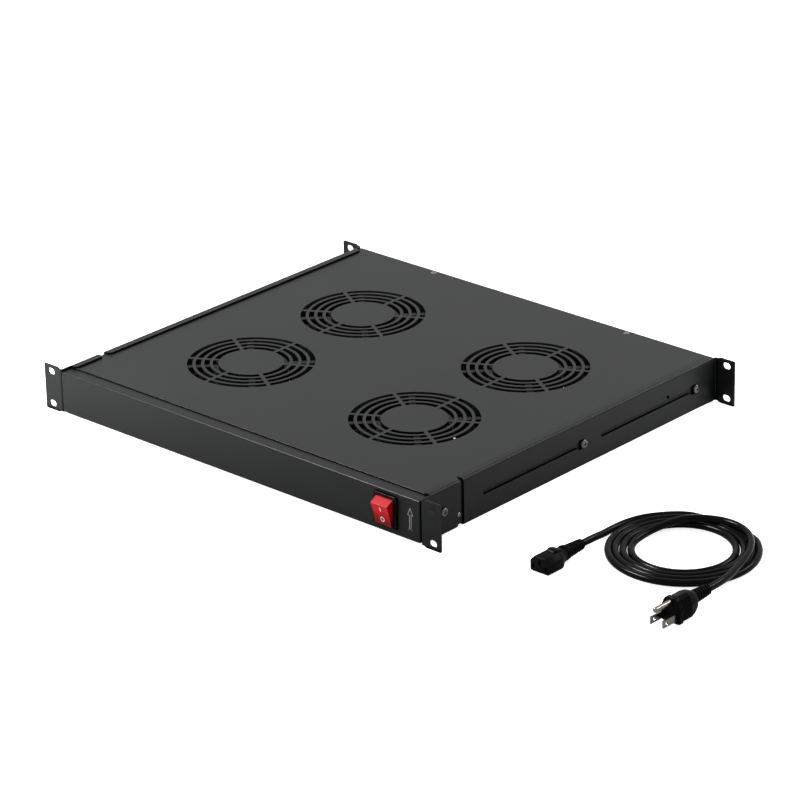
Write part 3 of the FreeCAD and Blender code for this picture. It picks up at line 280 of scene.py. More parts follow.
def make_form(name, parts):
    """One mesh of closed bodies, each given as its points and faces."""
    form = bmesh.new()
    for points, faces in parts:
        corners = [form.verts.new(point) for point in points]
        for face in faces:
            form.faces.new([corners[i] for i in face])
    bmesh.ops.recalc_face_normals(form, faces=form.faces)
    sheet = bpy.data.meshes.new(name)
    form.to_mesh(sheet)
    form.free()
    return sheet


def cut_away(sheet, parts):
    """A mesh with closed bodies taken out of it."""
    body = bpy.data.objects.new("uncut", sheet)
    bpy.context.scene.collection.objects.link(body)
    tools = []
    for points, faces in parts:
        tool = bpy.data.objects.new("cutter", make_form("cutter", [(points, faces)]))
        bpy.context.scene.collection.objects.link(tool)
        cut = body.modifiers.new("cut", "BOOLEAN")
        cut.operation = "DIFFERENCE"
        cut.object = tool
        tools.append(tool)
    bpy.context.view_layer.update()
    finished = body.evaluated_get(bpy.context.evaluated_depsgraph_get())
    shape = bpy.data.meshes.new_from_object(finished)
    for used in [body] + tools:
        old = used.data
        bpy.data.objects.remove(used)
        bpy.data.meshes.remove(old)
    return shape


def make_piece(name, sheet, finish, body, crease=35.0):
    """A piece riding on a body, smooth but for edges sharper than the crease."""
    sheet.shade_smooth()
    sheet.set_sharp_from_angle(angle=radians(crease))
    sheet.materials.clear()
    sheet.materials.append(finish)
    piece = bpy.data.objects.new(name, sheet)
    bpy.context.scene.collection.objects.link(piece)
    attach(piece, body)
    return piece


# Moulded PVC from a spark-eroded tool: black and semi-matt, with a fine even grain. The grain
# is drawn coarser than the tool leaves it, to show.
MOULD_BLACK = "#0a0a0b"
MOULD_LIGHT = "#101011"
EROSION = 0.35 * MM
MOULD_CLOUD = 11 * MM
pvc_moulding, tree, place = new_material("moulded_pvc")
patches = add(tree, "ShaderNodeTexNoise", {"Vector": place, "Scale": 1 / MOULD_CLOUD,
              "Detail": 4.0})
colour = add(tree, "ShaderNodeMix", {"Factor": patches.outputs["Fac"], "A": linear(MOULD_BLACK),
             "B": linear(MOULD_LIGHT)}, data_type="RGBA")
grain = add(tree, "ShaderNodeTexNoise", {"Vector": place, "Scale": 1 / EROSION, "Detail": 3.0})
bump = add(tree, "ShaderNodeBump", {"Height": grain.outputs["Fac"], "Strength": 0.25,
           "Distance": 0.06 * MM})
moulding = add(tree, "ShaderNodeBsdfPrincipled", {"Base Color": colour.outputs["Result"],
               "Roughness": 0.32, "IOR": 1.53, "Specular IOR Level": 0.015,
               "Normal": bump.outputs["Normal"]})
add(tree, "ShaderNodeOutputMaterial", {"Surface": moulding.outputs["BSDF"]})


def ribbed_sleeve(x, station, z):
    """A tapered sleeve of rounded ribs along the lead, from its root at the station. A rib's
    shape is given as shares of the pitch and of its depth."""
    profile = [(SLEEVE_CORE, 0.0), (SLEEVE_ROOT, 0.0)]
    pitch = SLEEVE / SLEEVE_RIBS
    for i in range(SLEEVE_RIBS):
        outer = SLEEVE_ROOT + (SLEEVE_TIP - SLEEVE_ROOT) * (i + 0.5) / SLEEVE_RIBS
        for along, drop in RIB_SHAPE:
            profile.append((outer - drop * RIB_DEPTH, (i + along) * pitch))
    profile += [(SLEEVE_TIP - 0.2, SLEEVE - 0.3), (SLEEVE_TIP - 0.7, SLEEVE),
                (SLEEVE_CORE, SLEEVE)]
    return skin([upright_circle(x, z, radius, station + along) for radius, along in profile])


# The nose is given by its sections from the front back: distance, half width, bottom, top and
# the width of the chamfer on its two upper corners.
nose_front = (connector_low.y - ear_face) / MM
nose_rings = []
for along, half, low, high, cut in ((0.0, 9.75, 0.8, 13.7, 4.4), (0.25, 10.15, 0.4, 14.1, 4.5),
                                    (0.7, NOSE_HALF, NOSE_LOW, NOSE_HIGH, 4.6),
                                    (NOSE - 1.0, NOSE_HALF, NOSE_LOW, NOSE_HIGH, 4.6),
                                    (NOSE + 0.4, 10.1, 0.35, 14.1, 4.4),
                                    (NOSE + 2.0, 9.3, 0.8, 13.6, 4.0),
                                    (NOSE + 4.0, 8.0, 1.5, 13.2, 3.4),
                                    (NOSE + 6.5, 6.7, 2.0, 12.8, 3.0),
                                    (NECK_END + 0.5, 6.2, 2.0, 12.6, 3.0)):
    corners = [(exit_x - half, low, NOSE_CORNER), (exit_x + half, low, NOSE_CORNER),
               (exit_x + half, high - cut, CHAMFER_CORNER),
               (exit_x + half - cut, high, CHAMFER_CORNER),
               (exit_x - half + cut, high, CHAMFER_CORNER),
               (exit_x - half, high - cut, CHAMFER_CORNER)]
    nose_rings.append(upright_outline(corners, nose_front + along))

# The finger hump's sections give distance, half width and top.
hump_rings = []
for along, half, high in ((13.2, 3.6, 13.8), (13.9, 4.6, 14.9), (15.2, 5.3, 15.9),
                          (17.2, 5.6, 16.3), (19.2, 5.6, 16.2), (21.4, 5.4, 15.6),
                          (23.6, 5.0, 14.6), (26.0, 4.4, 13.2)):
    corners = [(exit_x - half, HUMP_FOOT, HUMP_CORNER), (exit_x + half, HUMP_FOOT, HUMP_CORNER),
               (exit_x + half, high, HUMP_CROWN), (exit_x - half, high, HUMP_CROWN)]
    hump_rings.append(upright_outline(corners, nose_front + along))

collar_rings = []
for along, radius in ((NECK_END, 6.2), (NECK_END + 0.25, 6.8), (NECK_END + 0.7, 7.0),
                      (NECK_END + 1.9, 7.0), (NECK_END + 2.3, 6.7), (NECK_END + 2.5, 6.0),
                      (NECK_END + 3.2, 5.9), (NECK_END + 3.5, 6.4), (COLLAR_END, 6.5)):
    collar_rings.append(upright_circle(exit_x, EXIT_HEIGHT, radius, nose_front + along))

slot_half_wide, slot_half_tall = CONTACT_SLOT_HALF
slots = []
for aside, up in CONTACT_SLOTS:
    left, right = exit_x + aside - slot_half_wide, exit_x + aside + slot_half_wide
    low, high = EXIT_HEIGHT + up - slot_half_tall, EXIT_HEIGHT + up + slot_half_tall
    slots.append(skin([[spot(left, station, low), spot(right, station, low),
                        spot(right, station, high), spot(left, station, high)]
                       for station in (nose_front - CONTACT_SLOT_OVERCUT,
                                       nose_front + CONTACT_SLOT_DEPTH)]))
nose = cut_away(make_form("moulded_connector", [skin(nose_rings)]), slots)
connector = make_piece("moulded_connector", nose, pvc_moulding, "chassis")
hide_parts("cord_connector")
connector_back = make_piece("connector_sleeve", make_form("connector_sleeve",
                            [skin(hump_rings), skin(collar_rings),
                             ribbed_sleeve(exit_x, nose_front + COLLAR_END, EXIT_HEIGHT)]),
                            pvc_moulding, "chassis")

# ---------------------------------------------------------------- plug
# The three-pin plug is moulded in the same PVC: a rim behind the pins, fine grip ridges round
# its body, a rounded back and the same ribbed sleeve. Its blades and pin are plated brass.
PLUG = 28.0
PLUG_HALF = 10.25
PLUG_LOW = 0.2
PLUG_HIGH = 22.8
PLUG_SHOULDER = 12.5
PLUG_CROWN = 0.6
GRIP_RADII = (3.0, 7.0, 6.5)
BACK_RADII = (4.0, 6.0, 6.0)
UNDERSIDE_INSET = 0.7
RIM = 4.6
GRIP_PITCH = 1.5
GRIP_DEPTH = 0.28
GRIP_RIDGES = 8
GRIP_START = RIM + 1.2
PLUG_CREASE = 30.0
plug_front = (plug_low.y - ear_face) / MM


def plug_section(station, half, low, high, radii):
    """A six-cornered section of the plug, its radii given from the foot up to the crown."""
    foot, shoulder, crown = radii
    corners = [(plug_x - half, low, foot), (plug_x + half, low, foot),
               (plug_x + half, PLUG_SHOULDER, shoulder),
               (plug_x + half * PLUG_CROWN, high, crown),
               (plug_x - half * PLUG_CROWN, high, crown),
               (plug_x - half, PLUG_SHOULDER, shoulder)]
    return upright_outline(corners, plug_front + station)


# The rim and grip are stages of distance and inset; the back has sections of its own.
stages = [(0.0, 0.6), (0.2, 0.25), (0.6, 0.0), (RIM - 0.4, 0.0), (RIM, 0.3), (RIM + 0.3, 1.0)]
for i in range(GRIP_RIDGES):
    start = GRIP_START + i * GRIP_PITCH
    stages += [(start, 1.0 + GRIP_DEPTH), (start + 0.35 * GRIP_PITCH, 0.9),
               (start + 0.7 * GRIP_PITCH, 0.9)]
stages.append((GRIP_START + GRIP_RIDGES * GRIP_PITCH, 1.1))
plug_rings = [plug_section(along, PLUG_HALF - inset, PLUG_LOW + inset * UNDERSIDE_INSET,
                           PLUG_HIGH - inset, GRIP_RADII) for along, inset in stages]
for along, half, low, high in ((20.0, 8.9, 1.0, 21.4), (22.5, 8.5, 1.6, 20.8),
                               (24.8, 7.9, 2.7, 19.8), (26.6, 7.4, 4.0, 18.9),
                               (27.6, 6.9, 5.1, 18.3), (PLUG, 6.2, 6.0, 18.0)):
    plug_rings.append(plug_section(along, half, low, high, BACK_RADII))
plug = make_piece("moulded_plug", make_form("moulded_plug",
                  [skin(plug_rings), ribbed_sleeve(plug_x, plug_front + PLUG, PLUG_HEIGHT)]),
                  pvc_moulding, "chassis", PLUG_CREASE)
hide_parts("cord_plug")


def dress(name, material):
    """Gives a CAD piece its real finish."""
    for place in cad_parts[name].material_slots:
        place.material = material


# Nickel over stamped and turned brass: bright and a little warm, with drag lines along the
# pins, drawn coarser than they are, to show.
NICKEL = "#807c75"
NICKEL_WARM = "#5c574d"
DRAG = 0.4 * MM
DRAG_LENGTH = 8 * MM
nickel_brass, tree, place = new_material("nickel_plated_brass")
stretched = add(tree, "ShaderNodeMapping", {"Vector": place,
                "Scale": (1 / DRAG, 1 / DRAG_LENGTH, 1 / DRAG)})
drag = add(tree, "ShaderNodeTexNoise", {"Vector": stretched.outputs["Vector"], "Scale": 1.0,
           "Detail": 2.0})
colour = add(tree, "ShaderNodeMix", {"Factor": drag.outputs["Fac"], "A": linear(NICKEL),
             "B": linear(NICKEL_WARM)}, data_type="RGBA")
rough = add(tree, "ShaderNodeMapRange", {"Value": drag.outputs["Fac"], "To Min": 0.16,
            "To Max": 0.3})
plating = add(tree, "ShaderNodeBsdfPrincipled", {"Base Color": colour.outputs["Result"],
              "Metallic": 1.0, "Roughness": rough.outputs["Result"]})
add(tree, "ShaderNodeOutputMaterial", {"Surface": plating.outputs["BSDF"]})
for name in ("plug_blades", "plug_ground_pin", "inlet_pins"):
    dress(name, nickel_brass)

# ---------------------------------------------------------------- base tray
# The tray is one folded steel sheet that carries the fans; its front edge is the panel. It is
# powder coated in satin black after folding, as the cover and the four brackets are.
COAT_BLACK = "#0e0f0f"
COAT_GREY = "#141515"
COAT_DRIFT = 110 * MM
PEEL = 0.9 * MM
GRIT = 0.25 * MM
CREVICE = 5 * MM
# The flat black of the painted shade in slots and seams.
PAINTED_SHADE_BLACK = "#040404"
PANEL_GLOSS = 0.1
COVER_GLOSS = 0.12
BRACKET_GLOSS = 0.095


def powder_coat(name, gloss):
    """Satin black polyester powder: fine orange peel and a tone that drifts over a wide sheet,
    with a painted shade, flat black, blended in down in slots and seams. The grit is drawn
    coarser than it is, to show."""
    coat, tree, place = new_material(name)
    drift = add(tree, "ShaderNodeTexNoise", {"Vector": place, "Scale": 1 / COAT_DRIFT,
                "Detail": 3.0})
    colour = add(tree, "ShaderNodeMix", {"Factor": drift.outputs["Fac"],
                 "A": linear(COAT_BLACK), "B": linear(COAT_GREY)}, data_type="RGBA")
    peel = add(tree, "ShaderNodeTexNoise", {"Vector": place, "Scale": 1 / PEEL, "Detail": 1.0})
    grit = add(tree, "ShaderNodeTexNoise", {"Vector": place, "Scale": 1 / GRIT, "Detail": 2.0})
    both = add(tree, "ShaderNodeMath", {0: peel.outputs["Fac"], 1: grit.outputs["Fac"]},
               operation="ADD")
    bump = add(tree, "ShaderNodeBump", {"Height": both.outputs["Value"], "Strength": 0.18,
               "Distance": 0.05 * MM})
    # Painted shade: where ambient occlusion finds a slot or seam, the coat is blended into a flat
    # black.
    nooks = add(tree, "ShaderNodeAmbientOcclusion", {"Distance": CREVICE}, samples=8)
    depth = add(tree, "ShaderNodeMapRange", {"Value": nooks.outputs["AO"], "From Min": 0.6,
                "From Max": 0.88, "To Min": 1.0, "To Max": 0.0})
    powder = add(tree, "ShaderNodeBsdfPrincipled", {"Base Color": colour.outputs["Result"],
                 "Roughness": 0.34, "IOR": 1.5, "Specular IOR Level": gloss,
                 "Normal": bump.outputs["Normal"]})
    painted_shade = add(tree, "ShaderNodeBsdfDiffuse", {"Color": linear(PAINTED_SHADE_BLACK)})
    blend = add(tree, "ShaderNodeMixShader", {0: depth.outputs["Result"],
                1: powder.outputs["BSDF"], 2: painted_shade.outputs["BSDF"]})
    add(tree, "ShaderNodeOutputMaterial", {"Surface": blend.outputs["Shader"]})
    return coat


dress("base_tray", powder_coat("panel_powder_coat", PANEL_GLOSS))
dress("top_cover", powder_coat("cover_powder_coat", COVER_GLOSS))
bracket_coat = powder_coat("bracket_powder_coat", BRACKET_GLOSS)
for name in ("front_bracket_left", "front_bracket_right", "rear_bracket_left",
             "rear_bracket_right"):
    dress(name, bracket_coat)

# ---------------------------------------------------------------- flow mark
# A plain upward arrow beside the switch shows which way the air goes. It is screen printed on
# the panel in grey ink, a film too thin to feel.
PRINT_GREY = "#858786"
PRINT_LINE = 0.55
PRINT_FILM = 0.03
PRINT_BITE = 0.1
ARROW_X = 207.6
SHAFT = 0.9
BARB = 2.9
ARROW_TIP = 9.8
BARB_FOOT = 3.4
SHAFT_FOOT = -9.4
TAIL_NOTCH = -9.0
TAIL_FOOT = -11.0
panel_station = (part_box("base_tray")[0].y - ear_face) / MM
middle_z = sum(corner.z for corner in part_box("front_bracket_right")) / 2 / MM

# Screen ink dries grey and matt, with a faint tooth.
print_ink, tree, place = new_material("screen_printed_ink")
speckle = add(tree, "ShaderNodeTexNoise", {"Vector": place, "Scale": 1 / GRIT, "Detail": 2.0})
rough = add(tree, "ShaderNodeMapRange", {"Value": speckle.outputs["Fac"], "To Min": 0.45,
            "To Max": 0.65})
ink = add(tree, "ShaderNodeBsdfPrincipled", {"Base Color": linear(PRINT_GREY),
          "Roughness": rough.outputs["Result"], "IOR": 1.5})
add(tree, "ShaderNodeOutputMaterial", {"Surface": ink.outputs["BSDF"]})

arrow = [(-SHAFT, SHAFT_FOOT), (-SHAFT, BARB_FOOT), (-BARB, BARB_FOOT), (0.0, ARROW_TIP),
         (BARB, BARB_FOOT), (SHAFT, BARB_FOOT), (SHAFT, SHAFT_FOOT), (BARB, TAIL_FOOT),
         (0.0, TAIL_NOTCH), (-BARB, TAIL_FOOT), (-SHAFT, SHAFT_FOOT)]
strokes = []
for begin, end in zip(arrow, arrow[1:]):
    begin, end = Vector(begin), Vector(end)
    along = (end - begin).normalized() * PRINT_LINE / 2
    aside = Vector((-along.y, along.x))
    ends = [begin - along, end + along]
    outline = [ends[0] - aside, ends[1] - aside, ends[1] + aside, ends[0] + aside]
    strokes.append(skin([[spot(ARROW_X + point.x, station, middle_z + point.y)
                          for point in outline]
                         for station in (panel_station - PRINT_FILM,
                                         panel_station + PRINT_BITE)]))
flow_mark = make_piece("flow_mark", make_form("flow_mark", strokes), print_ink, "chassis")

# ---------------------------------------------------------------- fans
# Four square axial fans are screwed to the tray's floor. Their frames are die-cast aluminium
# dipped in black enamel: glossy on bore and struts, with the faint flow ripple of a casting.
FANS = 4
ENAMEL = "#0a0b0b"
RIPPLE = 4 * MM
cast_enamel, tree, place = new_material("black_enamel_on_casting")
ripple = add(tree, "ShaderNodeTexNoise", {"Vector": place, "Scale": 1 / RIPPLE, "Detail": 2.0})
bump = add(tree, "ShaderNodeBump", {"Height": ripple.outputs["Fac"], "Strength": 0.2,
           "Distance": 0.15 * MM})
rough = add(tree, "ShaderNodeMapRange", {"Value": ripple.outputs["Fac"], "To Min": 0.15,
            "To Max": 0.24})
enamel = add(tree, "ShaderNodeBsdfPrincipled", {"Base Color": linear(ENAMEL),
             "Roughness": rough.outputs["Result"], "IOR": 1.5, "Specular IOR Level": 0.05,
             "Normal": bump.outputs["Normal"]})
add(tree, "ShaderNodeOutputMaterial", {"Surface": enamel.outputs["BSDF"]})

# The blades are moulded glass-filled thermoplastic on a steel hub: black, a little duller,
# with a skin that the fibres leave uneven.
BLADE_BLACK = "#0b0b0c"
FIBRE = 1.4 * MM
blade_plastic, tree, place = new_material("glass_filled_thermoplastic")
fibre = add(tree, "ShaderNodeTexNoise", {"Vector": place, "Scale": 1 / FIBRE, "Detail": 3.0})
bump = add(tree, "ShaderNodeBump", {"Height": fibre.outputs["Fac"], "Strength": 0.15,
           "Distance": 0.05 * MM})
plastic = add(tree, "ShaderNodeBsdfPrincipled", {"Base Color": linear(BLADE_BLACK),
              "Roughness": 0.24, "IOR": 1.55, "Specular IOR Level": 0.05,
              "Normal": bump.outputs["Normal"]})
add(tree, "ShaderNodeOutputMaterial", {"Surface": plastic.outputs["BSDF"]})
for number in range(1, FANS + 1):
    dress("fan_frame_%d" % number, cast_enamel)
    dress("fan_rotor_%d" % number, blade_plastic)

# Sintered bronze bushes carry the shafts: a dull warm gold, finely pitted. The pores are drawn
# larger than they are, to show.
BRONZE = "#8a6a3c"
PORE = 0.4 * MM
bronze, tree, place = new_material("sintered_bronze")
pores = add(tree, "ShaderNodeTexNoise", {"Vector": place, "Scale": 1 / PORE, "Detail": 2.0})
bump = add(tree, "ShaderNodeBump", {"Height": pores.outputs["Fac"], "Strength": 0.4,
           "Distance": 0.05 * MM})
metal = add(tree, "ShaderNodeBsdfPrincipled", {"Base Color": linear(BRONZE),
            "Metallic": 1.0, "Roughness": 0.45, "Normal": bump.outputs["Normal"]})
add(tree, "ShaderNodeOutputMaterial", {"Surface": metal.outputs["BSDF"]})
dress("fan_bearings", bronze)

# The stators are stacked silicon steel sheets dipped in varnish: brown, with the edge of each
# half-millimetre sheet showing as a fine line.
VARNISH = "#4a3a2c"
LAMINATION = 0.5 * MM
stack, tree, place = new_material("varnished_lamination_stack")
height = add(tree, "ShaderNodeSeparateXYZ", {"Vector": place})
sheets = add(tree, "ShaderNodeMath", {0: height.outputs["Z"], 1: 2 * pi / LAMINATION},
             operation="MULTIPLY")
wave = add(tree, "ShaderNodeMath", {0: sheets.outputs["Value"]}, operation="SINE")
bump = add(tree, "ShaderNodeBump", {"Height": wave.outputs["Value"], "Strength": 0.5,
           "Distance": 0.05 * MM})
varnish = add(tree, "ShaderNodeBsdfPrincipled", {"Base Color": linear(VARNISH),
              "Metallic": 0.6, "Roughness": 0.4, "Normal": bump.outputs["Normal"]})
add(tree, "ShaderNodeOutputMaterial", {"Surface": varnish.outputs["BSDF"]})
dress("fan_stators", stack)

# ---------------------------------------------------------------- terminal block and inner leads
# The inlet, the switch and the fans are joined at a screw block inside the tray. It is moulded
# in natural nylon: cream, cloudy, with a soft sheen. Its leads are black PVC like the cord.
NATURAL = "#c9c2ae"
CLOUD = 5 * MM
natural_nylon, tree, place = new_material("natural_nylon")
cloud = add(tree, "ShaderNodeTexNoise", {"Vector": place, "Scale": 1 / CLOUD, "Detail": 2.0})
rough = add(tree, "ShaderNodeMapRange", {"Value": cloud.outputs["Fac"], "To Min": 0.4,
            "To Max": 0.55})
plastic = add(tree, "ShaderNodeBsdfPrincipled", {"Base Color": linear(NATURAL),
              "Roughness": rough.outputs["Result"], "IOR": 1.53})
add(tree, "ShaderNodeOutputMaterial", {"Surface": plastic.outputs["BSDF"]})
dress("terminal_block", natural_nylon)
dress("switch_lead", pvc_jacket)
dress("fan_leads", pvc_jacket)

# ---------------------------------------------------------------- switch
# The housing snaps into the panel: black nylon with a polished bezel that shows a soft gloss.
# The mains inlet at the back is moulded in the same nylon.
NYLON = "#0c0c0d"
NYLON_FLOW = 3 * MM
nylon, tree, place = new_material("polished_black_nylon")
flow = add(tree, "ShaderNodeTexNoise", {"Vector": place, "Scale": 1 / NYLON_FLOW, "Detail": 2.0})
rough = add(tree, "ShaderNodeMapRange", {"Value": flow.outputs["Fac"], "To Min": 0.16,
            "To Max": 0.24})
plastic = add(tree, "ShaderNodeBsdfPrincipled", {"Base Color": linear(NYLON),
              "Roughness": rough.outputs["Result"], "IOR": 1.53, "Specular IOR Level": 0.03})
add(tree, "ShaderNodeOutputMaterial", {"Surface": plastic.outputs["BSDF"]})
dress("switch_housing", nylon)
dress("inlet_body", nylon)

# The rocker is moulded in clear red polycarbonate with a polished face: a full red, with a
# painted shade that darkens it from the middle towards the foot.
ROCKER_RED = "#b0060e"
ROCKER_PAINTED_SHADE = "#6a0306"
RED_CLOUD = 8 * MM
red_polycarbonate, tree, place = new_material("red_polycarbonate")
whole = add(tree, "ShaderNodeTexCoord")
share = add(tree, "ShaderNodeSeparateXYZ", {"Vector": whole.outputs["Generated"]})
cloud = add(tree, "ShaderNodeTexNoise", {"Vector": place, "Scale": 1 / RED_CLOUD, "Detail": 2.0})
height = add(tree, "ShaderNodeMath", {0: cloud.outputs["Fac"], 1: 0.2, 2: share.outputs["Z"]},
             operation="MULTIPLY_ADD")
# Painted shade: the red darkens from the rocker's middle down to its foot, its edge a little
# clouded.
depth = add(tree, "ShaderNodeMapRange", {"Value": height.outputs["Value"], "From Min": 0.7,
            "From Max": 0.25})
colour = add(tree, "ShaderNodeMix", {"Factor": depth.outputs["Result"],
             "A": linear(ROCKER_RED), "B": linear(ROCKER_PAINTED_SHADE)}, data_type="RGBA")
plastic = add(tree, "ShaderNodeBsdfPrincipled", {"Base Color": colour.outputs["Result"],
              "Roughness": 0.26, "IOR": 1.585, "Specular IOR Level": 0.05})
add(tree, "ShaderNodeOutputMaterial", {"Surface": plastic.outputs["BSDF"]})
dress("switch_rocker", red_polycarbonate)

# The on and off marks are pad printed on the rocker's hollow face in white ink, which dries
# with a faint gloss.
MARK_WHITE = "#d8d4d0"
MARK_FILM = 0.04
ON_HEIGHT = 3.0
ON_TALL = 3.6
ON_WIDE = 0.8
ON_STEPS = 8
OFF_HEIGHT = -7.0
OFF_TALL = 4.6
OFF_WIDE = 4.5
OFF_LINE = 0.55
OFF_STEPS = 32
ROCKER_CLEAR = 5.0
mark_ink, tree, place = new_material("pad_printed_ink")
speckle = add(tree, "ShaderNodeTexNoise", {"Vector": place, "Scale": 1 / GRIT, "Detail": 2.0})
rough = add(tree, "ShaderNodeMapRange", {"Value": speckle.outputs["Fac"], "To Min": 0.3,
            "To Max": 0.5})
ink = add(tree, "ShaderNodeBsdfPrincipled", {"Base Color": linear(MARK_WHITE),
          "Roughness": rough.outputs["Result"], "IOR": 1.5})
add(tree, "ShaderNodeOutputMaterial", {"Surface": ink.outputs["BSDF"]})
rocker_low, rocker_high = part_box("switch_rocker")
rocker_x = (rocker_low.x + rocker_high.x) / 2 / MM
rocker_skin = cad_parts["switch_rocker"].data
rocker_face = BVHTree.FromPolygons([vertex.co for vertex in rocker_skin.vertices],
                                   [list(face.vertices) for face in rocker_skin.polygons])


def on_rocker(across, up):
    """A pair of points just outside and just inside the rocker's face, seen from the front."""
    start = Vector(((rocker_x + across) * MM, rocker_low.y - ROCKER_CLEAR * MM,
                    (middle_z + up) * MM))
    hit, normal = rocker_face.ray_cast(start, Vector((0, 1, 0)))[:2]
    outward = normal if normal.y < 0 else -normal
    return hit + outward * MARK_FILM * MM, hit - outward * MARK_FILM * MM


def film(grid, looped):
    """A thin printed film over a grid of places on the rocker; looped joins its ends."""
    pairs = [[on_rocker(*place) for place in row] for row in grid]
    rows = len(pairs)
    count = len(pairs[0])
    points = [pair[side] for side in (0, 1) for row in pairs for pair in row]
    below = rows * count
    faces = []
    for i in range(rows if looped else rows - 1):
        j = (i + 1) % rows
        for k in range(count - 1):
            face = [i * count + k, i * count + k + 1, j * count + k + 1, j * count + k]
            faces += [face, [corner + below for corner in face[::-1]]]
        for k in (0, count - 1):
            faces.append([i * count + k, j * count + k, j * count + k + below,
                          i * count + k + below])
    if not looped:
        for i in (0, rows - 1):
            for k in range(count - 1):
                faces.append([i * count + k, i * count + k + 1, i * count + k + 1 + below,
                              i * count + k + below])
    return points, faces


on_grid = [[(ON_WIDE * (side - 0.5), ON_HEIGHT + ON_TALL * (i / ON_STEPS - 0.5))
            for side in (0, 1)] for i in range(ON_STEPS + 1)]
off_grid = []
for i in range(OFF_STEPS):
    angle = 2 * pi * i / OFF_STEPS
    off_grid.append([(cos(angle) * (OFF_WIDE / 2 - inset),
                      OFF_HEIGHT + sin(angle) * (OFF_TALL / 2 - inset))
                     for inset in (0.0, OFF_LINE)])
marks = make_form("switch_marks", [film(on_grid, False), film(off_grid, True)])
switch_marks = make_piece("switch_marks", marks, mark_ink, "rocker")

# ---------------------------------------------------------------- machine screws
# Cross-recess screws hold the tray together: zinc-plated pan heads in the brackets, small
# countersunk ones in the cover and the inlet, and flat-topped black ones under the fans.
M4 = 4.0
M3 = 3.0
THREAD_PITCH = 0.7
THREAD_DEPTH = 0.3
THREAD_ROOT = 0.1
THREAD_CREST = (0.35, 0.45)
SCREW_SIDES = 40
SCREW_CORE = 0.05
UNDER_HEAD = -0.01
RECESS_FOOT = 0.5
RECESS_MOUTH = 1.15
RECESS_NARROWING = 0.7
RECESS_OVERCUT = 0.5


def turned(profile):
    """A body turned from (radius, height) pairs, about Z at the origin, in millimetres."""
    angles = [2 * pi * i / SCREW_SIDES for i in range(SCREW_SIDES)]
    return skin([[Vector((radius * cos(angle), radius * sin(angle), height))
                  for angle in angles] for radius, height in profile])


def threaded(diameter, tip, seat):
    """The turned profile of a thread, from its tip up to the underside of the head."""
    radius = diameter / 2
    root = radius - THREAD_DEPTH
    profile = [(SCREW_CORE, tip), (root, tip)]
    for i in range(int((seat - tip) / THREAD_PITCH)):
        low = tip + i * THREAD_PITCH
        profile += [(root, low + THREAD_ROOT), (radius, low + THREAD_CREST[0]),
                    (radius, low + THREAD_CREST[1])]
    return profile + [(radius, seat)]


def recess_cutter(reach, width, top, depth):
    """The two crossing wedges of a cross recess, narrower at the bottom."""
    wedges = []
    for along, aside in ((Vector((1, 0, 0)), Vector((0, 1, 0))),
                         (Vector((0, 1, 0)), Vector((-1, 0, 0)))):
        rings = []
        for height, long, wide in ((top - depth, reach * RECESS_FOOT, width * RECESS_NARROWING),
                                   (top + RECESS_OVERCUT, reach * RECESS_MOUTH, width)):
            rings.append([along * long * sx + aside * wide / 2 * sy + Vector((0, 0, height))
                          for sx, sy in ((-1, -1), (1, -1), (1, 1), (-1, 1))])
        wedges.append(skin(rings))
    return wedges


def set_screws(name, profile, recess, places, finish, node):
    """Copies of one turned and slotted screw at (place in metres, outward direction)."""
    one = cut_away(make_form(name, [turned(profile)]), recess)
    parts = []
    for place, outward in places:
        facing = outward.to_track_quat("Z", "X").to_matrix()
        parts.append(([place + facing @ (vertex.co * MM) for vertex in one.vertices],
                      [list(face.vertices) for face in one.polygons]))
    bpy.data.meshes.remove(one)
    piece = make_piece(name, make_form(name, parts), finish, "chassis")
    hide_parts(node)


# Bright zinc plate: a cool silver, slightly mottled by its clear blue passivation, with sharp
# highlights.
ZINC = "#6a6964"
ZINC_BLUE = "#3c3f40"
PLATE_MOTTLE = 1.2 * MM
zinc, tree, place = new_material("bright_zinc_plate")
mottle = add(tree, "ShaderNodeTexNoise", {"Vector": place, "Scale": 1 / PLATE_MOTTLE,
             "Detail": 3.0})
colour = add(tree, "ShaderNodeMix", {"Factor": mottle.outputs["Fac"], "A": linear(ZINC),
             "B": linear(ZINC_BLUE)}, data_type="RGBA")
rough = add(tree, "ShaderNodeMapRange", {"Value": mottle.outputs["Fac"], "To Min": 0.12,
            "To Max": 0.24})
metal = add(tree, "ShaderNodeBsdfPrincipled", {"Base Color": colour.outputs["Result"],
            "Metallic": 1.0, "Roughness": rough.outputs["Result"]})
add(tree, "ShaderNodeOutputMaterial", {"Surface": metal.outputs["BSDF"]})
for name in ("clinch_nuts", "fan_nuts", "inlet_nuts", "terminal_screws", "switch_terminals"):
    dress(name, zinc)

PAN_RADIUS = 4.0
PAN_HEIGHT = 2.4
PAN_STATIONS = (27.8, 212.5, 371.0)
pan_head = threaded(M4, -7.0, UNDER_HEAD)
pan_head += [(3.7, 0.0), (PAN_RADIUS, 0.25), (PAN_RADIUS, 0.9), (3.85, 1.4), (3.5, 1.85),
             (2.9, 2.15), (2.1, 2.33), (1.2, PAN_HEIGHT), (SCREW_CORE, PAN_HEIGHT)]
head_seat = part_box("bracket_screws")[1].x / MM - PAN_HEIGHT
places = [(spot(side * head_seat, station, middle_z), Vector((side, 0, 0)))
          for side in (-1, 1) for station in PAN_STATIONS]
recess = recess_cutter(reach=2.3, width=1.05, top=PAN_HEIGHT, depth=1.7)
set_screws("pan_head_screws", pan_head, recess, places, zinc, "bracket_screws")

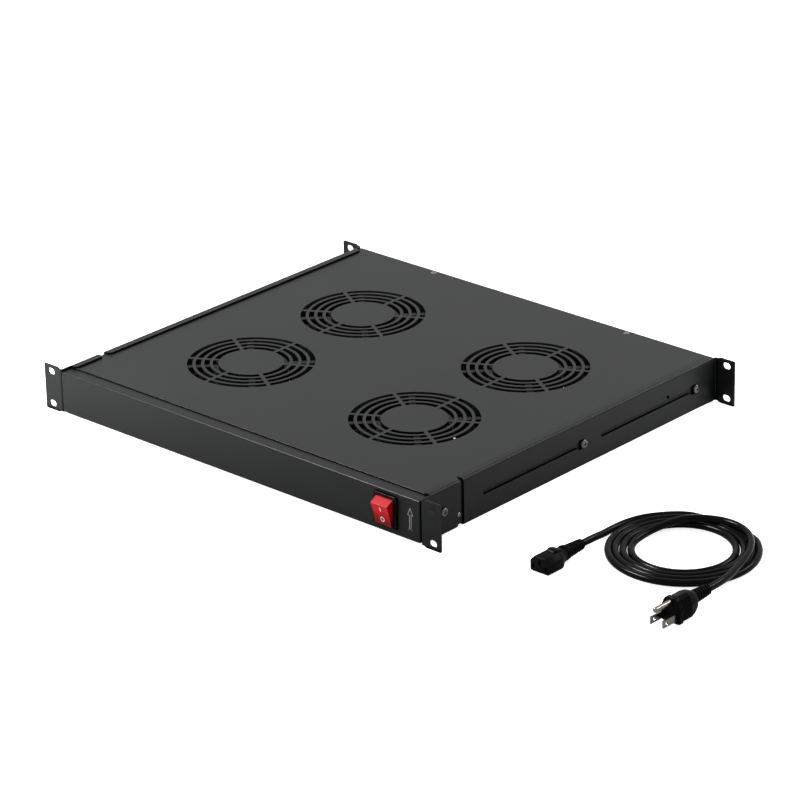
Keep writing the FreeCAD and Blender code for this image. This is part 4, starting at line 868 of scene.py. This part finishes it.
# The two small screws that close the cover are nickel plated: a paler silver, softer in gloss.
NICKEL_SKIN = "#8a8883"
bright_nickel, tree, place = new_material("bright_nickel_plate")
mottle = add(tree, "ShaderNodeTexNoise", {"Vector": place, "Scale": 1 / PLATE_MOTTLE,
             "Detail": 3.0})
rough = add(tree, "ShaderNodeMapRange", {"Value": mottle.outputs["Fac"], "To Min": 0.2,
            "To Max": 0.36})
metal = add(tree, "ShaderNodeBsdfPrincipled", {"Base Color": linear(NICKEL_SKIN),
            "Metallic": 1.0, "Roughness": rough.outputs["Result"]})
add(tree, "ShaderNodeOutputMaterial", {"Surface": metal.outputs["BSDF"]})

SUNK_RADIUS = 2.8
COVER_SCREW_STATION = 396.0
sunk_head = threaded(M3, -6.9, -1.4)
sunk_head += [(2.75, -0.12), (SUNK_RADIUS, -0.05), (2.72, 0.0), (SCREW_CORE, 0.0)]
cover_screw_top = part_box("cover_screws")[1].z / MM
cover_screw_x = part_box("cover_screws")[1].x / MM - SUNK_RADIUS
places = [(spot(side * cover_screw_x, COVER_SCREW_STATION, cover_screw_top),
           Vector((0, 0, 1))) for side in (-1, 1)]
recess = recess_cutter(reach=1.5, width=0.75, top=0.0, depth=1.1)
set_screws("cover_closing_screws", sunk_head, recess, places, bright_nickel, "cover_screws")

# Black oxide leaves the steel dark brown-black with a dull metal sheen.
OXIDE = "#3a3837"
black_oxide, tree, place = new_material("black_oxide_steel")
mottle = add(tree, "ShaderNodeTexNoise", {"Vector": place, "Scale": 1 / PLATE_MOTTLE,
             "Detail": 3.0})
rough = add(tree, "ShaderNodeMapRange", {"Value": mottle.outputs["Fac"], "To Min": 0.3,
            "To Max": 0.5})
metal = add(tree, "ShaderNodeBsdfPrincipled", {"Base Color": linear(OXIDE),
            "Metallic": 1.0, "Roughness": rough.outputs["Result"]})
add(tree, "ShaderNodeOutputMaterial", {"Surface": metal.outputs["BSDF"]})

INLET_HOLE_HALF_SPAN = 20.0
inlet_head = threaded(M3, -8.8, -1.5)
inlet_head += [(2.85, -0.12), (2.9, -0.05), (2.8, 0.0), (SCREW_CORE, 0.0)]
inlet_low, inlet_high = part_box("inlet_body")
inlet_x = (inlet_low.x + inlet_high.x) / 2 / MM
inlet_station = (inlet_high.y - ear_face) / MM
places = [(spot(inlet_x + side * INLET_HOLE_HALF_SPAN, inlet_station, middle_z),
           Vector((0, 1, 0))) for side in (-1, 1)]
recess = recess_cutter(reach=1.6, width=0.8, top=0.0, depth=1.1)
set_screws("inlet_fixing_screws", inlet_head, recess, places, black_oxide, "inlet_screws")

FAN_SPAN_X = 200.0
FAN_SPAN_Y = 150.0
FAN_HOLE_SPAN = 104.8
FAN_STATION = 200.0
FAN_HEAD_HEIGHT = 1.4
fan_head = threaded(M4, -8.9, UNDER_HEAD)
fan_head += [(3.5, 0.0), (3.6, 0.1), (3.6, 0.9), (3.45, 1.25), (3.1, FAN_HEAD_HEIGHT),
             (SCREW_CORE, FAN_HEAD_HEIGHT)]
fan_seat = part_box("fan_screws")[0].z / MM + FAN_HEAD_HEIGHT
places = []
for sx in (-1, 1):
    for sy in (-1, 1):
        for hx in (-1, 1):
            for hy in (-1, 1):
                x = (sx * FAN_SPAN_X + hx * FAN_HOLE_SPAN) / 2
                station = FAN_STATION + (sy * FAN_SPAN_Y + hy * FAN_HOLE_SPAN) / 2
                places.append((spot(x, station, fan_seat), Vector((0, 0, -1))))
recess = recess_cutter(reach=2.0, width=0.95, top=FAN_HEAD_HEIGHT, depth=1.2)
set_screws("fan_fixing_screws", fan_head, recess, places, black_oxide, "fan_screws")

# ---------------------------------------------------------------- blind rivets
# A small domed aluminium blind rivet pins the cover behind each front bracket. The stub of its
# pulled steel stem sits just under the bright rim, dressed black as painted shade, so the hole
# reads dark.
RIVET_STATION = 49.0
RIVET_DROP = 10.5
RIVET_DOME = 0.7
RIVET_TIP = -2.2
STEM_FOOT = -1.3
rivet = turned([(SCREW_CORE, RIVET_TIP), (1.35, RIVET_TIP), (1.35, 0.0), (1.75, 0.0),
                (1.8, 0.15), (1.7, 0.45), (1.5, 0.65), (1.3, RIVET_DOME), (1.18, 0.62),
                (1.12, 0.4), (1.1, -1.2), (0.3, STEM_FOOT), (SCREW_CORE, STEM_FOOT)])
stem = turned([(SCREW_CORE, -1.25), (1.05, -1.25), (1.05, -0.1), (SCREW_CORE, -0.2)])
rivet_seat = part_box("side_rivets")[1].x / MM - RIVET_DOME
bodies = []
painted_shade_stems = []
for side in (-1, 1):
    facing = Vector((side, 0, 0)).to_track_quat("Z", "X").to_matrix()
    seat = spot(side * rivet_seat, RIVET_STATION, middle_z - RIVET_DROP)
    for (points, faces), placed in ((rivet, bodies), (stem, painted_shade_stems)):
        placed.append(([seat + facing @ (point * MM) for point in points], faces))

# Bare aluminium: a soft pale silver, lightly scuffed by the riveting tool.
ALUMINIUM = "#b0b0ac"
SCUFF = 1.2 * MM
rivet_metal, tree, place = new_material("bare_aluminium")
scuff = add(tree, "ShaderNodeTexNoise", {"Vector": place, "Scale": 1 / SCUFF, "Detail": 3.0})
rough = add(tree, "ShaderNodeMapRange", {"Value": scuff.outputs["Fac"], "To Min": 0.2,
            "To Max": 0.4})
metal = add(tree, "ShaderNodeBsdfPrincipled", {"Base Color": linear(ALUMINIUM),
            "Metallic": 1.0, "Roughness": rough.outputs["Result"]})
add(tree, "ShaderNodeOutputMaterial", {"Surface": metal.outputs["BSDF"]})
rivets = make_piece("blind_rivets", make_form("blind_rivets", bodies), rivet_metal, "chassis")
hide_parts("side_rivets")
# The stems' black oxide, set close under the rim, is painted shade for the hole in each rivet.
rivet_stem_shade = make_piece("rivet_stem_shade", make_form("rivet_stem_shade", painted_shade_stems), black_oxide, "chassis")

# ---------------------------------------------------------------- studio
# A white paper floor, seen as white wherever no shadow falls, under a pale sky. One large soft
# lamp hangs overhead, and two small ones brighten the floor that the tray's walls mirror.
FLOOR_SPAN = 14.0
FLOOR_WHITE = "#d0d0d0"
FLOOR_LIFT = 0.8
FLOOR_MIRRORED = 0.25
AMBIENT = 0.45
floor_sheet = bpy.data.meshes.new("floor")
half = FLOOR_SPAN / 2
floor_sheet.from_pydata([(-half, -half, 0), (half, -half, 0), (half, half, 0), (-half, half, 0)],
                        [], [(0, 1, 2, 3)])
floor = bpy.data.objects.new("floor", floor_sheet)
bpy.context.scene.collection.objects.link(floor)

# White paper: flat and matt. The camera sees it lifted to full white, and gloss sees a little
# of that lift.
floor_paint, tree, place = new_material("white_paper_floor")
path = add(tree, "ShaderNodeLightPath")
mirrored = add(tree, "ShaderNodeMath", {0: path.outputs["Is Glossy Ray"],
               1: path.outputs["Is Transmission Ray"]}, operation="ADD")
mirrored = add(tree, "ShaderNodeMath", {0: mirrored.outputs["Value"], 1: FLOOR_MIRRORED},
               operation="MULTIPLY")
lift = add(tree, "ShaderNodeMath", {0: path.outputs["Is Camera Ray"], 1: FLOOR_LIFT,
           2: mirrored.outputs["Value"]}, operation="MULTIPLY_ADD")
paper = add(tree, "ShaderNodeBsdfDiffuse", {"Color": linear(FLOOR_WHITE)})
glow = add(tree, "ShaderNodeEmission", {"Color": (1, 1, 1, 1), "Strength": lift.outputs["Value"]})
lifted = add(tree, "ShaderNodeAddShader", {0: paper.outputs["BSDF"],
             1: glow.outputs["Emission"]})
add(tree, "ShaderNodeOutputMaterial", {"Surface": lifted.outputs["Shader"]})
floor_sheet.materials.append(floor_paint)

# The sky is white wherever it is seen or mirrored, and dimmer where it lights.
world = bpy.data.worlds.new("studio")
world.use_nodes = True
bpy.context.scene.world = world
tree = world.node_tree
tree.nodes.clear()
path = add(tree, "ShaderNodeLightPath")
seen = add(tree, "ShaderNodeMath", {0: path.outputs["Is Camera Ray"],
           1: path.outputs["Is Glossy Ray"]}, operation="ADD")
seen = add(tree, "ShaderNodeMath", {0: seen.outputs["Value"],
           1: path.outputs["Is Transmission Ray"]}, operation="ADD")
strength = add(tree, "ShaderNodeMapRange", {"Value": seen.outputs["Value"], "To Min": AMBIENT,
               "To Max": 1.0})
sky = add(tree, "ShaderNodeBackground", {"Color": (1, 1, 1, 1),
          "Strength": strength.outputs["Result"]})
add(tree, "ShaderNodeOutputWorld", {"Surface": sky.outputs["Background"]})


def softbox(name, place, target, size, power, gloss_only=False):
    """A rectangular studio lamp facing its target; either it lights or it shows in gloss."""
    lamp = bpy.data.lights.new(name, "AREA")
    lamp.shape = "RECTANGLE"
    lamp.size, lamp.size_y = size
    lamp.energy = power
    made = bpy.data.objects.new(name, lamp)
    made.location = place
    made.rotation_euler = (Vector(target) - Vector(place)).to_track_quat("-Z", "Y").to_euler()
    made.visible_camera = False
    made.visible_diffuse = not gloss_only
    made.visible_glossy = gloss_only
    bpy.context.scene.collection.objects.link(made)


# Metres and watts: place, target, size, power. The two strips show in gloss alone, and draw
# the light lines along the folded edges.
softbox("overhead", (-0.9, 1.5, 2.0), (0.0, 0.0, 0.0), (1.6, 1.2), 55.0)
softbox("front_bend_strip", (-1.15, -1.1, 2.05), (0.0, 0.0, 0.05), (1.2, 0.4), 260.0,
        gloss_only=True)
softbox("side_bend_strip", (1.0, 1.69, 1.55), (0.0, 0.0, 0.05), (1.5, 0.4), 30.0,
        gloss_only=True)
softbox("left_floor_wash", (-0.45, -0.52, 0.32), (-0.30, -0.33, 0.0), (0.3, 0.3), 11.5)
softbox("right_floor_wash", (0.52, 0.42, 0.32), (0.36, 0.24, 0.0), (0.3, 0.3), 4.5)

bpy.context.scene.view_settings.view_transform = "Standard"
